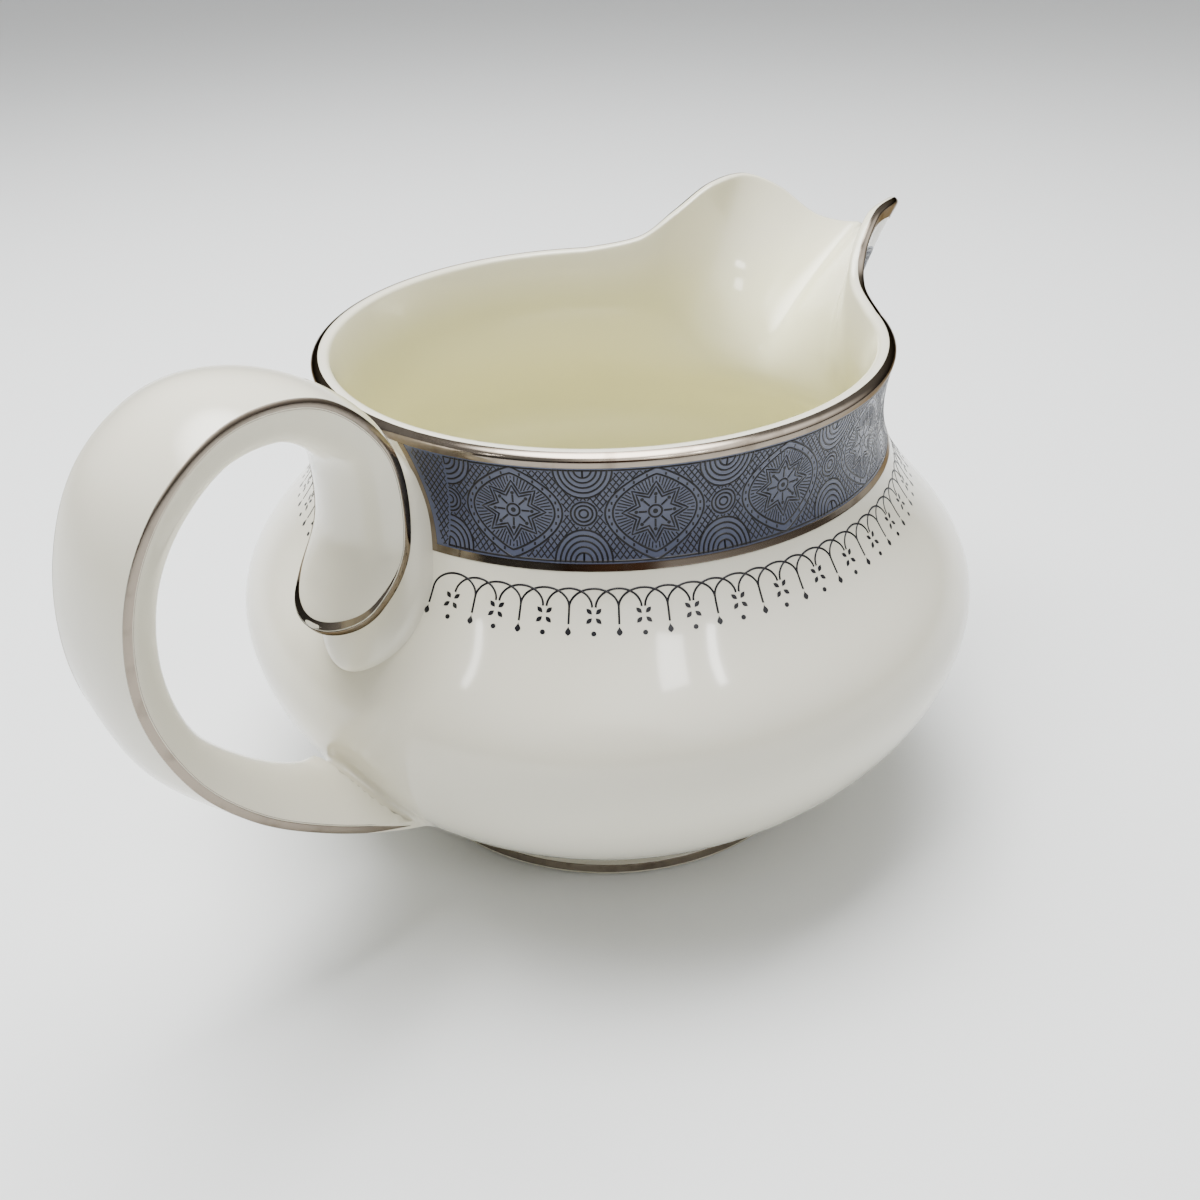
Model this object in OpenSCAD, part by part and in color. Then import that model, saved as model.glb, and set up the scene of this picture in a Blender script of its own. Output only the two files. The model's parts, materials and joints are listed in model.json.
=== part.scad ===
// Bone china creamer: a squat slip-cast jug with a drawn-out pouring lip and a scroll handle.
// The lip points along +X and the handle along -X. The origin is the middle of the foot's resting face.

/* [Bowl] */
// Outer radius of the bowl at its widest
belly_r = 52.2; // [49:0.1:56]
// Height of the widest part of the bowl
belly_z = 32; // [30:0.5:34]
// Outer radius of the neck at its narrowest
neck_r = 37.5; // [36:0.1:39]
// Height of the narrowest part of the neck
neck_z = 60; // [58.5:0.5:61.5]
// How far the rim behind and beside the lip flares out past the neck
rim_flare = 0.8; // [0:0.1:2]
// Height of the rim's outer edge at the back
rim_z = 66.1; // [65:0.1:68]
// How far the rim's edge climbs from the back to the root of the lip
rim_rise = 0.9; // [0:0.1:2]
// Thickness of the china wall
wall = 2.4; // [1.8:0.1:2.8]
// Height of the rounded crown on top of the rim
rim_crown = 0.7; // [0.4:0.1:1.2]

/* [Pouring lip] */
// How far the lip's tip stands out past the round rim
lip_reach = 29.9; // [27:0.1:33]
// Half of the lip's width between its two wings
lip_half_w = 14.4; // [13:0.1:15.5]
// How far the two wings rise above the rim
wing_rise = 8.3; // [6:0.1:10]
// Height at which the lip starts to leave the shoulder
lip_start_z = 47; // [46:0.5:49]

// Share of the wall's thickness that is drawn out at the lip
lip_thin_share = 0.4; // [0:0.05:0.45]

/* [Foot] */
// Outer radius of the foot ring
foot_r = 33; // [31.5:0.1:34]
// How far the bowl springs inside the foot ring's outer edge
foot_step = 1.2; // [0.9:0.1:2]
// Height of the foot ring
foot_h = 3; // [2.5:0.1:4]
// Width of the resting face of the foot ring
foot_w = 3.2; // [2.6:0.1:4]
// Depth of the groove between the foot ring and the bowl
foot_groove = 0.9; // [0.4:0.1:1.2]

/* [Handle] */
// How far the spine of the handle stands out past the bowl's widest part
handle_out = 24.7; // [22:0.1:28]
// Height at which the spine enters the bowl
handle_foot_z = 16.5; // [15:0.5:18]
// Height of the highest point of the spine
handle_top_z = 77.6; // [75:0.2:80]
// Width of the handle across its two sharp edges
handle_w = 16.8; // [14.5:0.1:18]
// Depth of the rounded inner face of the handle
handle_inner = 6.9; // [5.5:0.1:8]
// Depth of the handle's outer face where it is deepest, against the neck
handle_outer = 3.7; // [3:0.1:4.4]

/* [Handle seat] */
// Half of the width of the seat lobe under the scroll
seat_half_w = 7.6; // [6:0.2:8.5]
// Height of the lower end of the seat lobe
seat_low_z = 39.7; // [38:0.1:42]
// Height of the upper end of the seat lobe
seat_high_z = 65; // [62:0.5:65.5]
// Thickness of the seat lobe
seat_t = 4.8; // [3.5:0.1:5.5]
// Width of the slip fillet round the lower end of the handle, away from its point
luting_w = 1.6; // [1:0.1:2.4]

/* [Decoration] */
// Thickness of the fired platinum lines
line_t = 0.12; // [0.1:0.01:0.3]
// Thickness of the printed band
print_t = 0.12; // [0.1:0.01:0.2]
// Height of the lower edge of the platinum line under the printed band
neck_line_z = 53.2; // [51.5:0.1:54]
// Width of that platinum line
neck_line_w = 0.8; // [0.6:0.1:2]
// Height of the printed band
band_h = 11.6; // [9:0.1:11.7]
// How far the band's upper edge stays lower on the underside of the lip
band_drop = 5.2; // [3:0.1:7]
// Width of the platinum line on the outside of the rim, below the crown
rim_line_w = 0.4; // [0.2:0.1:1]
// Half of the gap that the band leaves for the handle at its lower edge
band_gap_low = 6.7; // [5:0.1:9]
// Half of the gap that the band leaves for the handle at its upper edge
band_gap_high = 2.4; // [2:0.1:6]
// Width of the platinum lines down the two ends of the band
end_line_w = 0.9; // [0.6:0.1:1.5]
// Width of the flat along each edge of the handle, and of the platinum line on it
edge_line_w = 1; // [0.6:0.1:1.4]
// Height of the platinum line on the foot above the resting face
foot_line_z = 0.8; // [0.5:0.1:1.2]
// Width of the platinum line on the foot
foot_line_w = 1.3; // [0.8:0.1:1.6]

/* [Hidden] */

// Outer radii of the rim and of the bowl's root, and how far the handle's spine stands out past the rim
rim_r = neck_r + rim_flare;
root_r = foot_r - foot_step;
handle_reach = belly_r + handle_out - rim_r;

// How far up the groove of the foot ring reaches its depth, between the platinum line and the bowl
groove_share = 0.7;

// Parts of a turn, in degrees
turn = 360;
half_turn = 180;
quarter_turn = 90;

// Root angle at which the lip leaves the round rim, and the columns over that angle and the rest
lip_span = 44;
lip_steps = 21;
round_steps = 46;

// Lip outline from the tip to the round rim, at even root angles: how far out as a share of lip_reach,
// how far sideways as a share of lip_half_w, and how high as a share of wing_rise
lip_shares = [[1, 0, -0.149], [0.817, 0.396, 0.086], [0.669, 0.765, 0.677], [0.478, 1, 1],
              [0.231, 1.083, 0.979], [0.002, 1.219, 0.578], [-0.157, 1.418, 0.167]];
// How gently the lip leaves the shoulder: 1 is a straight slope
lip_ease = 1.3;

// Steps along each stretch of the bowl's outline, from the foot to the rim
under_steps = 6;
fine_steps = 24;
shoulder_steps = 40;
neck_steps = 4;
crown_steps = 4;
// Rows of the wall between the belly and the lip's start, up the printed band, and beside all the decoration
shoulder_rows = 5;
band_levels = 3;
beside_rows = 8;
// Where the lower curve of the bowl turns upright, and where the shoulder's pull ends, as height shares
under_pull_share = 0.53;
shoulder_pull_shares = [0.375, 0.518];

// Handle spine from the bowl to the tip of the scroll: how far out past the rim as a share of
// handle_reach, and how high as a share of the height between handle_foot_z and handle_top_z
spine_shares = [[0.1, -0.011], [0.321, 0.059], [0.549, 0.152], [0.765, 0.272], [0.923, 0.419], [1, 0.598],
                [0.964, 0.779], [0.827, 0.924], [0.599, 0.999], [0.334, 0.973], [0.154, 0.842],
                [0.137, 0.659], [0.246, 0.552], [0.364, 0.499]];
// At the same places: the width, the outer depth and the inner depth as shares of their largest values
width_shares = [1, 0.96, 0.89, 0.83, 0.77, 0.72, 0.75, 0.83, 0.84, 0.85, 0.93, 0.92, 0.88, 0.91];
outer_shares = [0.71, 0.48, 0.27, 0.18, 0.36, 0.15, 0.21, 0.35, 0.44, 0.31, 0.66, 1, 0.89, 0.45];
inner_shares = [0.94, 0.81, 0.6, 0.6, 0.58, 0.73, 0.86, 1, 0.94, 0.74, 0.48, 0.36, 0.22, 0.1];
spine_steps = 3;
tongue_steps = 6;
face_steps = 8;
// Share of the spine's length over which the tongue rounds off to its tip
tongue_share = 0.12;
// Squared share of the width that is left at the very tip
tip_share = 0.0004;
// Small step along the spine, counted in control places, for directions and for finding the joint
probe_u = 0.05;
// Number of control places that the joint with the bowl can lie in, how finely it is searched for, and how
// far past it the edge lines start
root_reach = 2;
root_steps = 8;
clear_step = 0.01;
edge_clear_u = 0.1;
// How hollow the slip fillet is, and by what share it is wider where it runs to a point on the inner face
hollow_share = 0.35;
point_share = 1.6;

// Seat lobe: half width and thickness at even heights from its lower to its upper end, and the share of its
// height over which the lower end is rounded
seat_width_shares = [0.8, 0.93, 0.99, 1, 0.95, 0.83, 0.72, 0.62, 0.5, 0.35, 0];
seat_thick_shares = [0.45, 0.62, 0.82, 0.96, 1, 0.95, 0.85, 0.75, 0.6, 0.35, 0];
seat_round_share = 0.24;
seat_round_steps = 6;
seat_steps = 13;

function flip(list) = [for (i = [len(list) - 1:-1:0]) list[i]];
function unit(v) = v / max(norm(v), 1e-9);
function mix(a, b, t) = a + (b - a) * t;
function quad(a, b, c, t) = mix(mix(a, b, t), mix(b, c, t), t);
function cubic(a, b, c, d, t) = mix(quad(a, b, c, t), quad(b, c, d, t), t);
// Point on the smooth curve through a list of points, with u counted in points
function through(p, u) =
    let (n = len(p) - 1, i = min(n - 1, max(0, floor(u))), t = u - i,
         a = i > 0 ? p[i - 1] : 2 * p[0] - p[1], b = p[i], c = p[i + 1],
         d = i + 2 <= n ? p[i + 2] : 2 * p[n] - p[n - 1])
    b + (c - a) * t / 2 + (2 * a - 5 * b + 4 * c - d) * t * t / 2
      + (3 * b - a - 3 * c + d) * t * t * t / 2;

// Outer outline of the bowl as radius and height, without the lip
root = [root_r, foot_h];
belly = [belly_r, belly_z];
neck = [neck_r, neck_z];
under_pull = [belly_r, mix(foot_h, belly_z, under_pull_share)];
outline = concat(
    [for (i = [0:fine_steps]) quad(root, under_pull, belly, i / fine_steps)],
    [for (i = [1:shoulder_steps]) cubic(belly, [belly_r, mix(belly_z, neck_z, shoulder_pull_shares[0])],
                                        [neck_r, mix(belly_z, neck_z, shoulder_pull_shares[1])], neck,
                                        i / shoulder_steps)],
    [for (i = [1:neck_steps]) let (t = i / neck_steps) [mix(neck_r, rim_r, t * t), mix(neck_z, rim_z, t)]]);
radius_table = [for (p = outline) [p[1], p[0]]];
function bowl_r(z) = lookup(z, radius_table);

// Columns: root angles round the bowl, closest together at the lip
lip_angles = [for (i = [0:lip_steps]) lip_span * i / lip_steps];
round_angles = [for (i = [1:round_steps - 1]) lip_span + (turn - 2 * lip_span) * i / round_steps];
column_angles = concat(lip_angles, round_angles, [for (i = [lip_steps:-1:1]) turn - lip_angles[i]]);
// How far a root angle is under the lip, from 0 beside it to 1 in its middle
function under_lip(a) =
    let (b = min(a % turn, turn - a % turn)) b < lip_span ? pow(cos(quarter_turn * b / lip_span), 2) : 0;

// Heights of the rows of the bowl's outside at a root angle, with the edges of the decoration among them
band_z = neck_line_z + neck_line_w;
band_top_z = band_z + band_h;
function band_edge_z(a) = band_top_z - band_drop * under_lip(a);
function row_z(a) = concat([for (i = [0:under_steps]) quad(root, under_pull, belly, i / under_steps)[1]],
                           [for (i = [1:shoulder_rows]) mix(belly_z, lip_start_z, i / shoulder_rows)],
                           [(lip_start_z + neck_line_z) / 2, neck_line_z],
                           [for (i = [0:band_levels]) mix(band_z, band_edge_z(a), i / band_levels)],
                           [(band_edge_z(a) + rim_z) / 2, rim_z]);
rows = len(row_z(0));
// Rows of the inside, from the rim down: every other one beside the decoration
inner_rows = [for (i = [rows - 1:-1:1]) if (i < rows - beside_rows || i % 2 == (rows - 1) % 2) i];

function rim_edge_z(a) = rim_z + rim_rise * (1 + cos(a)) / 2;
function round_rim(a) = [rim_r * cos(a), rim_r * sin(a), rim_edge_z(a)];
lip_base_z = rim_z + rim_rise;
function lip_point(s) = [rim_r + lip_reach * s[0], lip_half_w * s[1], lip_base_z + wing_rise * s[2]];
lip_step_a = lip_span / len(lip_shares);
lip_half = concat([for (s = lip_shares) lip_point(s)],
                  [round_rim(lip_span), round_rim(lip_span + lip_step_a)]);
lip_curve = concat([for (i = [len(lip_half) - 1:-1:1]) let (p = lip_half[i]) [p[0], -p[1], p[2]]], lip_half);
// Outer edge of the rim at a root angle, which leaves the circle at the lip
function rim_edge(a) =
    let (b = a > half_turn ? a - turn : a)
    abs(b) >= lip_span ? round_rim(a)
                       : through(lip_curve, len(lip_half) - 1 + b / lip_step_a);

// Point of the bowl's outer surface at a root angle and a height of the plain outline
function lift(z) = pow(max(0, (z - lip_start_z) / (rim_z - lip_start_z)), lip_ease);
function skin(a, z) =
    let (r = bowl_r(z), g = lift(z), plain = [rim_r * cos(a), rim_r * sin(a), rim_z])
    [r * cos(a), r * sin(a), z] + (rim_edge(a) - plain) * g;
// Outward normal of that surface, from small steps up and round
probe_share = 0.004;
probe_a = 0.36;
function skin_normal(a, z) =
    let (dz = rim_z * probe_share, up = skin(a, min(z + dz, rim_z)) - skin(a, max(z - dz, foot_h)),
         round = skin(a + probe_a, z) - skin(a - probe_a, z))
    unit(cross(round, up));
function skin_up(a, z) = unit(skin(a, z) - skin(a, z - rim_z * probe_share));
// Thickness of the wall, which thins towards the edge of the lip
function wall_at(a, z) = wall * (1 - lip_thin_share * sqrt(under_lip(a)) * lift(z));
// The same surface raised by a thickness
function raised(a, z, t) = skin(a, z) + skin_normal(a, z) * t;

// Crown of the rim: a low half round from the outer to the inner edge, with angle b from outside to inside
function crown(a, b, t) =
    let (n = skin_normal(a, rim_z), half = wall_at(a, rim_z) / 2)
    skin(a, rim_z) - n * half + n * (half + t) * cos(b) + skin_up(a, rim_z) * (rim_crown + t) * sin(b);

// Triangles between rings of equal length, closed round, from the first ring to the last
function ring_faces(ring_count, n) =
    [for (j = [0:ring_count - 2], i = [0:n - 1]) let (k = (i + 1) % n)
        each [[j * n + i, (j + 1) * n + i, (j + 1) * n + k], [j * n + i, (j + 1) * n + k, j * n + k]]];
function cap_faces(first, n, centre, back) =
    [for (i = [0:n - 1]) let (a = first + i, b = first + (i + 1) % n) back ? [centre, a, b] : [centre, b, a]];

// A wall grid of rings with a centre point at each end, wound outward
module capped(rings, start, finish) {
    n = len(rings[0]);
    c = len(rings);
    polyhedron(points = concat([for (r = rings) each r], [start, finish]),
               faces = concat(ring_faces(c, n), cap_faces(0, n, c * n, true),
                              cap_faces((c - 1) * n, n, c * n + 1, false)),
               convexity = 6);
}

// A wall grid of rings whose last ring joins the first, as on a closed belt
module belt(rings) {
    n = len(rings[0]);
    c = len(rings);
    polyhedron(points = [for (r = rings) each r],
               faces = [for (j = [0:c - 1], i = [0:n - 1]) let (k = (i + 1) % n, m = (j + 1) % c)
                        each [[j * n + i, m * n + i, m * n + k], [j * n + i, m * n + k, j * n + k]]],
               convexity = 6);
}

// Bowl, neck and lip in one cast wall
module bowl() {
    floor_mid = root_r / 2;
    corner = root_r - wall / 2;
    heights = [for (a = column_angles) row_z(a)];
    last = len(column_angles) - 1;
    outer = [for (i = [0:rows - 1]) [for (k = [0:last]) skin(column_angles[k], heights[k][i])]];
    top = [for (i = [1:crown_steps - 1]) [for (a = column_angles) crown(a, half_turn * i / crown_steps, 0)]];
    inner = [for (i = inner_rows) [for (k = [0:last]) let (a = column_angles[k], z = heights[k][i])
                                       raised(a, z, -wall_at(a, z))]];
    under = [for (a = column_angles) [floor_mid * cos(a), floor_mid * sin(a), foot_h]];
    floor_in = [for (r = [corner, floor_mid])
                    [for (a = column_angles) [r * cos(a), r * sin(a), foot_h + wall]]];
    color([0.93, 0.93, 0.9])
        capped(concat([under], outer, top, inner, floor_in), [0, 0, foot_h], [0, 0, foot_h + wall]);
}

// Turned foot ring with its resting face, and a groove under the bowl
module foot_ring() {
    edge = foot_groove / 2;
    line_top = foot_line_z + foot_line_w;
    color([0.93, 0.93, 0.9])
        rotate_extrude($fn = 96)
            polygon([[foot_r - foot_w + edge, 0], [foot_r - edge, 0], [foot_r, edge], [foot_r, line_top],
                     [foot_r - foot_groove, mix(line_top, foot_h, groove_share)],
                     [foot_r - foot_groove, foot_h], [foot_r - foot_w - edge, foot_h],
                     [foot_r - foot_w, edge]]);
}

// Spine of the handle in the middle plane, at u counted in control places
spine_points = [for (s = spine_shares)
                    [-rim_r - handle_reach * s[0], 0, mix(handle_foot_z, handle_top_z, s[1])]];
spine_end = len(spine_points) - 1;
tongue_u = spine_end * (1 - tongue_share);
spine_u = concat([for (i = [0:root_reach * root_steps - 1]) i / root_steps],
                 [for (i = [root_reach * spine_steps:floor(tongue_u * spine_steps)]) i / spine_steps],
                 [for (i = [1:tongue_steps]) mix(tongue_u, spine_end, sin(quarter_turn * i / tongue_steps))]);
function spine(u) = through(spine_points, u);
function spine_out(u) =
    let (d = unit(spine(min(u + probe_u, spine_end)) - spine(max(u - probe_u, 0)))) [-d[2], 0, d[0]];
// The tongue rounds off like the end of a spoon
function tongue(u) =
    let (s = max(0, (u - tongue_u) / (spine_end - tongue_u))) sqrt(max(tip_share, 1 - s * s));
function half_w(u) = handle_w * through(width_shares, u) * tongue(u) / 2;
function outer_d(u) = handle_outer * through(outer_shares, u) * tongue(u);
function inner_d(u) = handle_inner * through(inner_shares, u) * tongue(u);
// A point brought level onto the bowl's surface, and the same only for a point that would fall inside it
function to_bowl(p) = let (k = bowl_r(p[2]) / norm([p[0], p[1]])) [p[0] * k, p[1] * k, p[2]];
function on_bowl(p) = norm([p[0], p[1]]) < bowl_r(p[2]) ? to_bowl(p) : p;
// Faces of the handle at share v of its half width: two bowed faces that meet in a narrow flat at each edge
function outer_raw(u, v) =
    spine(u) + [0, half_w(u) * v, 0] + spine_out(u) * (outer_d(u) * (1 - v * v) + edge_line_w / 2);
function inner_raw(u, v) =
    spine(u) + [0, half_w(u) * v, 0] - spine_out(u) * (inner_d(u) * (1 - v * v) + edge_line_w / 2);
function section_raw(u) =
    concat([for (i = [0:face_steps]) outer_raw(u, 1 - 2 * i / face_steps)],
           [for (i = [0:face_steps]) inner_raw(u, -1 + 2 * i / face_steps)]);
function section(u) = [for (p = section_raw(u)) on_bowl(p)];

// Scroll handle, from the lower bowl round to the free tongue
module handle() {
    color([0.94, 0.94, 0.92])
        capped([for (u = spine_u) section(u)], on_bowl(spine(0)), spine(spine_end));
}

// Seat lobe on the shoulder: at share t of its height and share v of its half width
function seat_round(t) = sqrt(1 - pow(max(0, 1 - t / seat_round_share), 2));
function seat_table(list, t) = through(list, t * (len(list) - 1)) * seat_round(t);
function seat_half(t) = seat_half_w * seat_table(seat_width_shares, t);
function seat_top(t) = seat_t * seat_table(seat_thick_shares, t);
function seat_point(t, v, h) =
    let (z = mix(seat_low_z, seat_high_z, t), a = half_turn - v * seat_half(t) / bowl_r(z) * half_turn / PI)
    raised(a, z, h);

// Smooth lobe that seats the scroll on the neck and shoulder, cut away where the handle lies in it
module handle_seat() {
    levels = concat([for (i = [1:seat_round_steps])
                         seat_round_share * (1 - cos(quarter_turn * i / seat_round_steps))],
                    [for (i = [1:seat_steps - 1]) mix(seat_round_share, 1, i / seat_steps)]);
    rings = [for (t = levels)
                concat([for (j = [0:face_steps - 1]) let (v = 1 - 2 * j / face_steps)
                            seat_point(t, v, seat_top(t) * sqrt(max(0, 1 - v * v)))],
                       [for (j = [0:face_steps - 1]) seat_point(t, -1 + 2 * j / face_steps, 0)])];
    color([0.94, 0.94, 0.92])
        difference() {
            capped(rings, seat_point(0, 0, 0), seat_point(1, 0, 0));
            handle();
        }
}

// Fillet of slip round the lower end of the handle, where it is stuck to the bowl. For each place round the
// handle's section it runs from the handle's surface, by a hollow, to the surface of the bowl
function clear_u(i) =
    let (free = [for (u = [0:clear_step:root_reach]) let (p = section_raw(u)[i])
                     if (norm([p[0], p[1]]) > bowl_r(p[2])) u])
    len(free) > 0 ? free[0] : root_reach;
module handle_luting() {
    step = norm(spine(1) - spine(0));
    rings = [for (i = [0:2 * face_steps + 1])
        let (v = abs(2 * (i - face_steps - 1) / face_steps - 1),
             w = luting_w * (1 + (i > face_steps ? point_share * (1 - v) : 0)),
             u = clear_u(i), joint = to_bowl(section_raw(u)[i]), up = on_bowl(section_raw(u + w / step)[i]),
             away = section_raw(u)[i] - spine(u), n = unit([joint[0], joint[1], 0]),
             out = to_bowl(joint + unit(away - n * (away * n)) * w),
             hollow = mix((up + out) / 2, joint, hollow_share))
        [joint, up, hollow, out]];
    color([0.94, 0.94, 0.92]) belt(rings);
}

// Platinum on the rim: from the top of the crown over its outer half and a little way down the wall
module rim_line() {
    low = rim_z - rim_line_w;
    half = crown_steps / 2;
    sections = [for (a = column_angles) concat(
        [skin(a, low), skin(a, rim_z)], [for (i = [1:half]) crown(a, half_turn * i / crown_steps, 0)],
        [for (i = [half:-1:1]) crown(a, half_turn * i / crown_steps, line_t)],
        [raised(a, rim_z, line_t), raised(a, low, line_t)])];
    color([0.78, 0.76, 0.72]) belt(sections);
}

// Half of the gap at the handle, as an angle, at a height between the band's edges
function gap_angle(z) =
    let (t = (z - neck_line_z) / (band_top_z - neck_line_z), gap = mix(band_gap_low, band_gap_high, t))
    gap / bowl_r(z) * half_turn / PI;

// Strip of skin from one list of angles to the next, raised by a thickness, closed at both ends
module strip(sections) {
    m = len(sections);
    k = len(sections[0]);
    n = k / 2;
    polyhedron(points = [for (s = sections) each s],
               faces = concat(ring_faces(m, k),
                              [for (i = [0:n - 2]) each [[i, i + 1, k - 2 - i], [i, k - 2 - i, k - 1 - i]]],
                              [for (i = [0:n - 2]) let (a = (m - 1) * k + i, b = m * k - 1 - i)
                                   each [[a, b - 1, a + 1], [a, b, b - 1]]]),
               convexity = 6);
}

// Belt of decoration round the neck between two heights, open at the handle, in rows up its height. Its upper
// edge drops under the lip
module neck_belt(low, high, drop, levels, t) {
    margin = gap_angle(low) + turn / round_steps / 2;
    order = concat([for (a = column_angles) if (a > half_turn + margin) a],
                   [for (a = column_angles) if (a < half_turn - margin) a + turn]);
    shares = [for (i = [0:levels]) i / levels];
    start = [for (s = shares) let (z = mix(low, high, s)) [half_turn + gap_angle(z), z]];
    finish = [for (p = start) [2 * turn - p[0], p[1]]];
    middle = [for (a = order) [for (s = shares) [a, mix(low, high - drop * under_lip(a), s)]]];
    strip([for (r = concat([start], middle, [finish]))
               concat([for (p = r) skin(p[0], p[1])], [for (p = flip(r)) raised(p[0], p[1], t)])]);
}

// Printed band round the neck
module neck_band() {
    color([0.4, 0.42, 0.48]) neck_belt(band_z, band_top_z, band_drop, band_levels, print_t);
}

// Platinum line under the printed band
module neck_line() {
    color([0.78, 0.76, 0.72]) neck_belt(neck_line_z, band_z, 0, 1, line_t);
}

// Platinum lines down the two ends of the band, beside the handle
module band_end_lines() {
    levels = 6;
    color([0.78, 0.76, 0.72])
        for (side = [-1, 1])
            strip([for (i = [0:levels])
                       let (z = mix(neck_line_z, band_top_z, i / levels), far = gap_angle(z),
                            near = far - end_line_w / bowl_r(z) * half_turn / PI,
                            ends = side > 0 ? [half_turn - near, half_turn - far]
                                            : [half_turn + far, half_turn + near])
                       concat([for (a = ends) skin(a, z)], [for (a = flip(ends)) raised(a, z, line_t)])]);
}

// Platinum line round the foot
module foot_line() {
    color([0.78, 0.76, 0.72])
        rotate_extrude($fn = 96)
            polygon([[foot_r, foot_line_z], [foot_r + line_t, foot_line_z],
                     [foot_r + line_t, foot_line_z + foot_line_w], [foot_r, foot_line_z + foot_line_w]]);
}

// Platinum along the flat of both edges of the handle, in one line round the tip of the tongue
module handle_edge_lines() {
    free = [for (u = spine_u) if (u > clear_u(face_steps + 1) + edge_clear_u) u];
    places = concat([for (u = free) [u, 1]], [for (u = flip(free)) [u, -1]]);
    last = len(places) - 1;
    mid = [for (p = places) spine(p[0]) + [0, half_w(p[0]) * p[1], 0]];
    color([0.78, 0.76, 0.72])
        strip([for (i = [0:last])
                   let (n = spine_out(places[i][0]), along = mid[min(i + 1, last)] - mid[max(i - 1, 0)],
                        side = unit(cross(along, n)), half = n * edge_line_w / 2)
                   [mid[i] - half, mid[i] + half,
                    mid[i] + half + side * line_t, mid[i] - half + side * line_t]]);
}

bowl();
foot_ring();
handle();
handle_seat();
handle_luting();
rim_line();
neck_band();
neck_line();
band_end_lines();
foot_line();
handle_edge_lines();
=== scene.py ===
"""Looks of the bone china creamer.

It has glazed china, fired platinum lines, a printed neck band and a lace border. The pieces are built round
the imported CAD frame, in its own axes: +X is the pouring lip, -X the handle, +Z up, and the origin is the
middle of the foot's resting face. Sizes are in millimetres until a mesh is made. Root angles are degrees
round +Z from +X, and plain heights are heights on the outline before the lip draws the wall out.
"""

import json
import logging
import math
from dataclasses import dataclass, field
from enum import Enum
from typing import Callable, Sequence

import bmesh
import bpy
import numpy as np
from mathutils import Matrix, Vector

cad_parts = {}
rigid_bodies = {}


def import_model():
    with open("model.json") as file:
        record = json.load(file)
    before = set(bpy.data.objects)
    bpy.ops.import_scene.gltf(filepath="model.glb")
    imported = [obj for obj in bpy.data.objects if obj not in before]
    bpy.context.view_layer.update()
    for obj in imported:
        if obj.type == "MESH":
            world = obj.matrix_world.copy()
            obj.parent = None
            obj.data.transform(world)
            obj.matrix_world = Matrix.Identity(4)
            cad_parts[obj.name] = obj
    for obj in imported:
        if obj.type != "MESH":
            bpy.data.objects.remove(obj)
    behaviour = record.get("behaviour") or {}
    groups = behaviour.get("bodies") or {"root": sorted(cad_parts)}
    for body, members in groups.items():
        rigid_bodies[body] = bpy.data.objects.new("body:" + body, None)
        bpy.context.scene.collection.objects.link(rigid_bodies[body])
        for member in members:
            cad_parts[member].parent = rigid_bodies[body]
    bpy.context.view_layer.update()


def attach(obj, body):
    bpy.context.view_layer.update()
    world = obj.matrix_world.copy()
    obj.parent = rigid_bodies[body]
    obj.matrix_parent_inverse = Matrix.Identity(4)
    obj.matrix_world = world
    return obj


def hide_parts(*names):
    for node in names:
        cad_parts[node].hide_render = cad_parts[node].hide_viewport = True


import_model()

LOG = logging.getLogger("creamer")
Values = float | np.ndarray
Piece = bpy.types.Object
Finish = bpy.types.Material
MM = 0.001
TURN = 360.0
HALF_TURN = 180.0
QUARTER_TURN = 90.0
BODY = "root"
# Flat places on a guide surface are kept between 0 and 1, as shares of this length in millimetres
FLAT_SPAN = 320.0
# Edges sharper than this, in degrees, stay sharp
CREASE = 60.0
# The backs of the fired films lie this far under the glaze, in millimetres
FILM_SINK = 0.05
# Points closer together than this, in metres, are one
WELD = 1e-7
# Socket numbers of a Mix node's two colours and of its result
COLOUR_A, COLOUR_B, COLOUR_OUT = 6, 7, 2


class Slot(Enum):
    """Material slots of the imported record."""

    CHINA = "bone_china"
    PLATINUM = "platinum_lustre"
    PRINT = "slate_print"


# Shapes


def mix(a: Values, b: Values, t: Values) -> Values:
    """Value between a and b at share t, for numbers and arrays."""
    return a + (b - a) * t


def unit(v: np.ndarray) -> np.ndarray:
    """Vectors of length one along the last axis."""
    return v / np.maximum(np.linalg.norm(v, axis=-1, keepdims=True), 1e-12)


def lengths(points: np.ndarray) -> np.ndarray:
    """Length along a line of points, from 0 at its start to each of them."""
    return np.concatenate([[0], np.cumsum(np.linalg.norm(np.diff(points, axis=0), axis=1))])


def through(points: Sequence, u: Values) -> np.ndarray:
    """Points on the smooth curve through a list of values.

    Args:
        points: control values, each a number or a point.
        u: places along the list, counted in control values.

    Returns:
        One value or point for each place.
    """
    p = np.asarray(points, float)
    last = len(p) - 1
    padded = np.concatenate([[2 * p[0] - p[1]], p, [2 * p[-1] - p[-2]]])
    u = np.asarray(u, float)
    i = np.clip(np.floor(u).astype(int), 0, last - 1)
    t = u - i
    if p.ndim > 1:
        t = t[..., None]
    a, b, c, d = (padded[i + k] for k in range(4))
    square = (2 * a - 5 * b + 4 * c - d) * t**2 / 2
    cube = (3 * b - a - 3 * c + d) * t**3 / 2
    return b + (c - a) * t / 2 + square + cube


def bezier(points: Sequence, t: np.ndarray) -> np.ndarray:
    """Bezier curve of any degree.

    Args:
        points: control points.
        t: shares along the curve.

    Returns:
        One point for each share.
    """
    rows = [np.asarray(p, float) + 0 * t[:, None] for p in points]
    while len(rows) > 1:
        rows = [mix(a, b, t[:, None]) for a, b in zip(rows, rows[1:])]
    return rows[0]


def level_ring(turn: np.ndarray, r: float, z: float) -> np.ndarray:
    """Level ring of points with radius r and height z, at angles in radians."""
    return np.stack([r * np.cos(turn), r * np.sin(turn), z + 0 * turn], -1)


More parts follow.
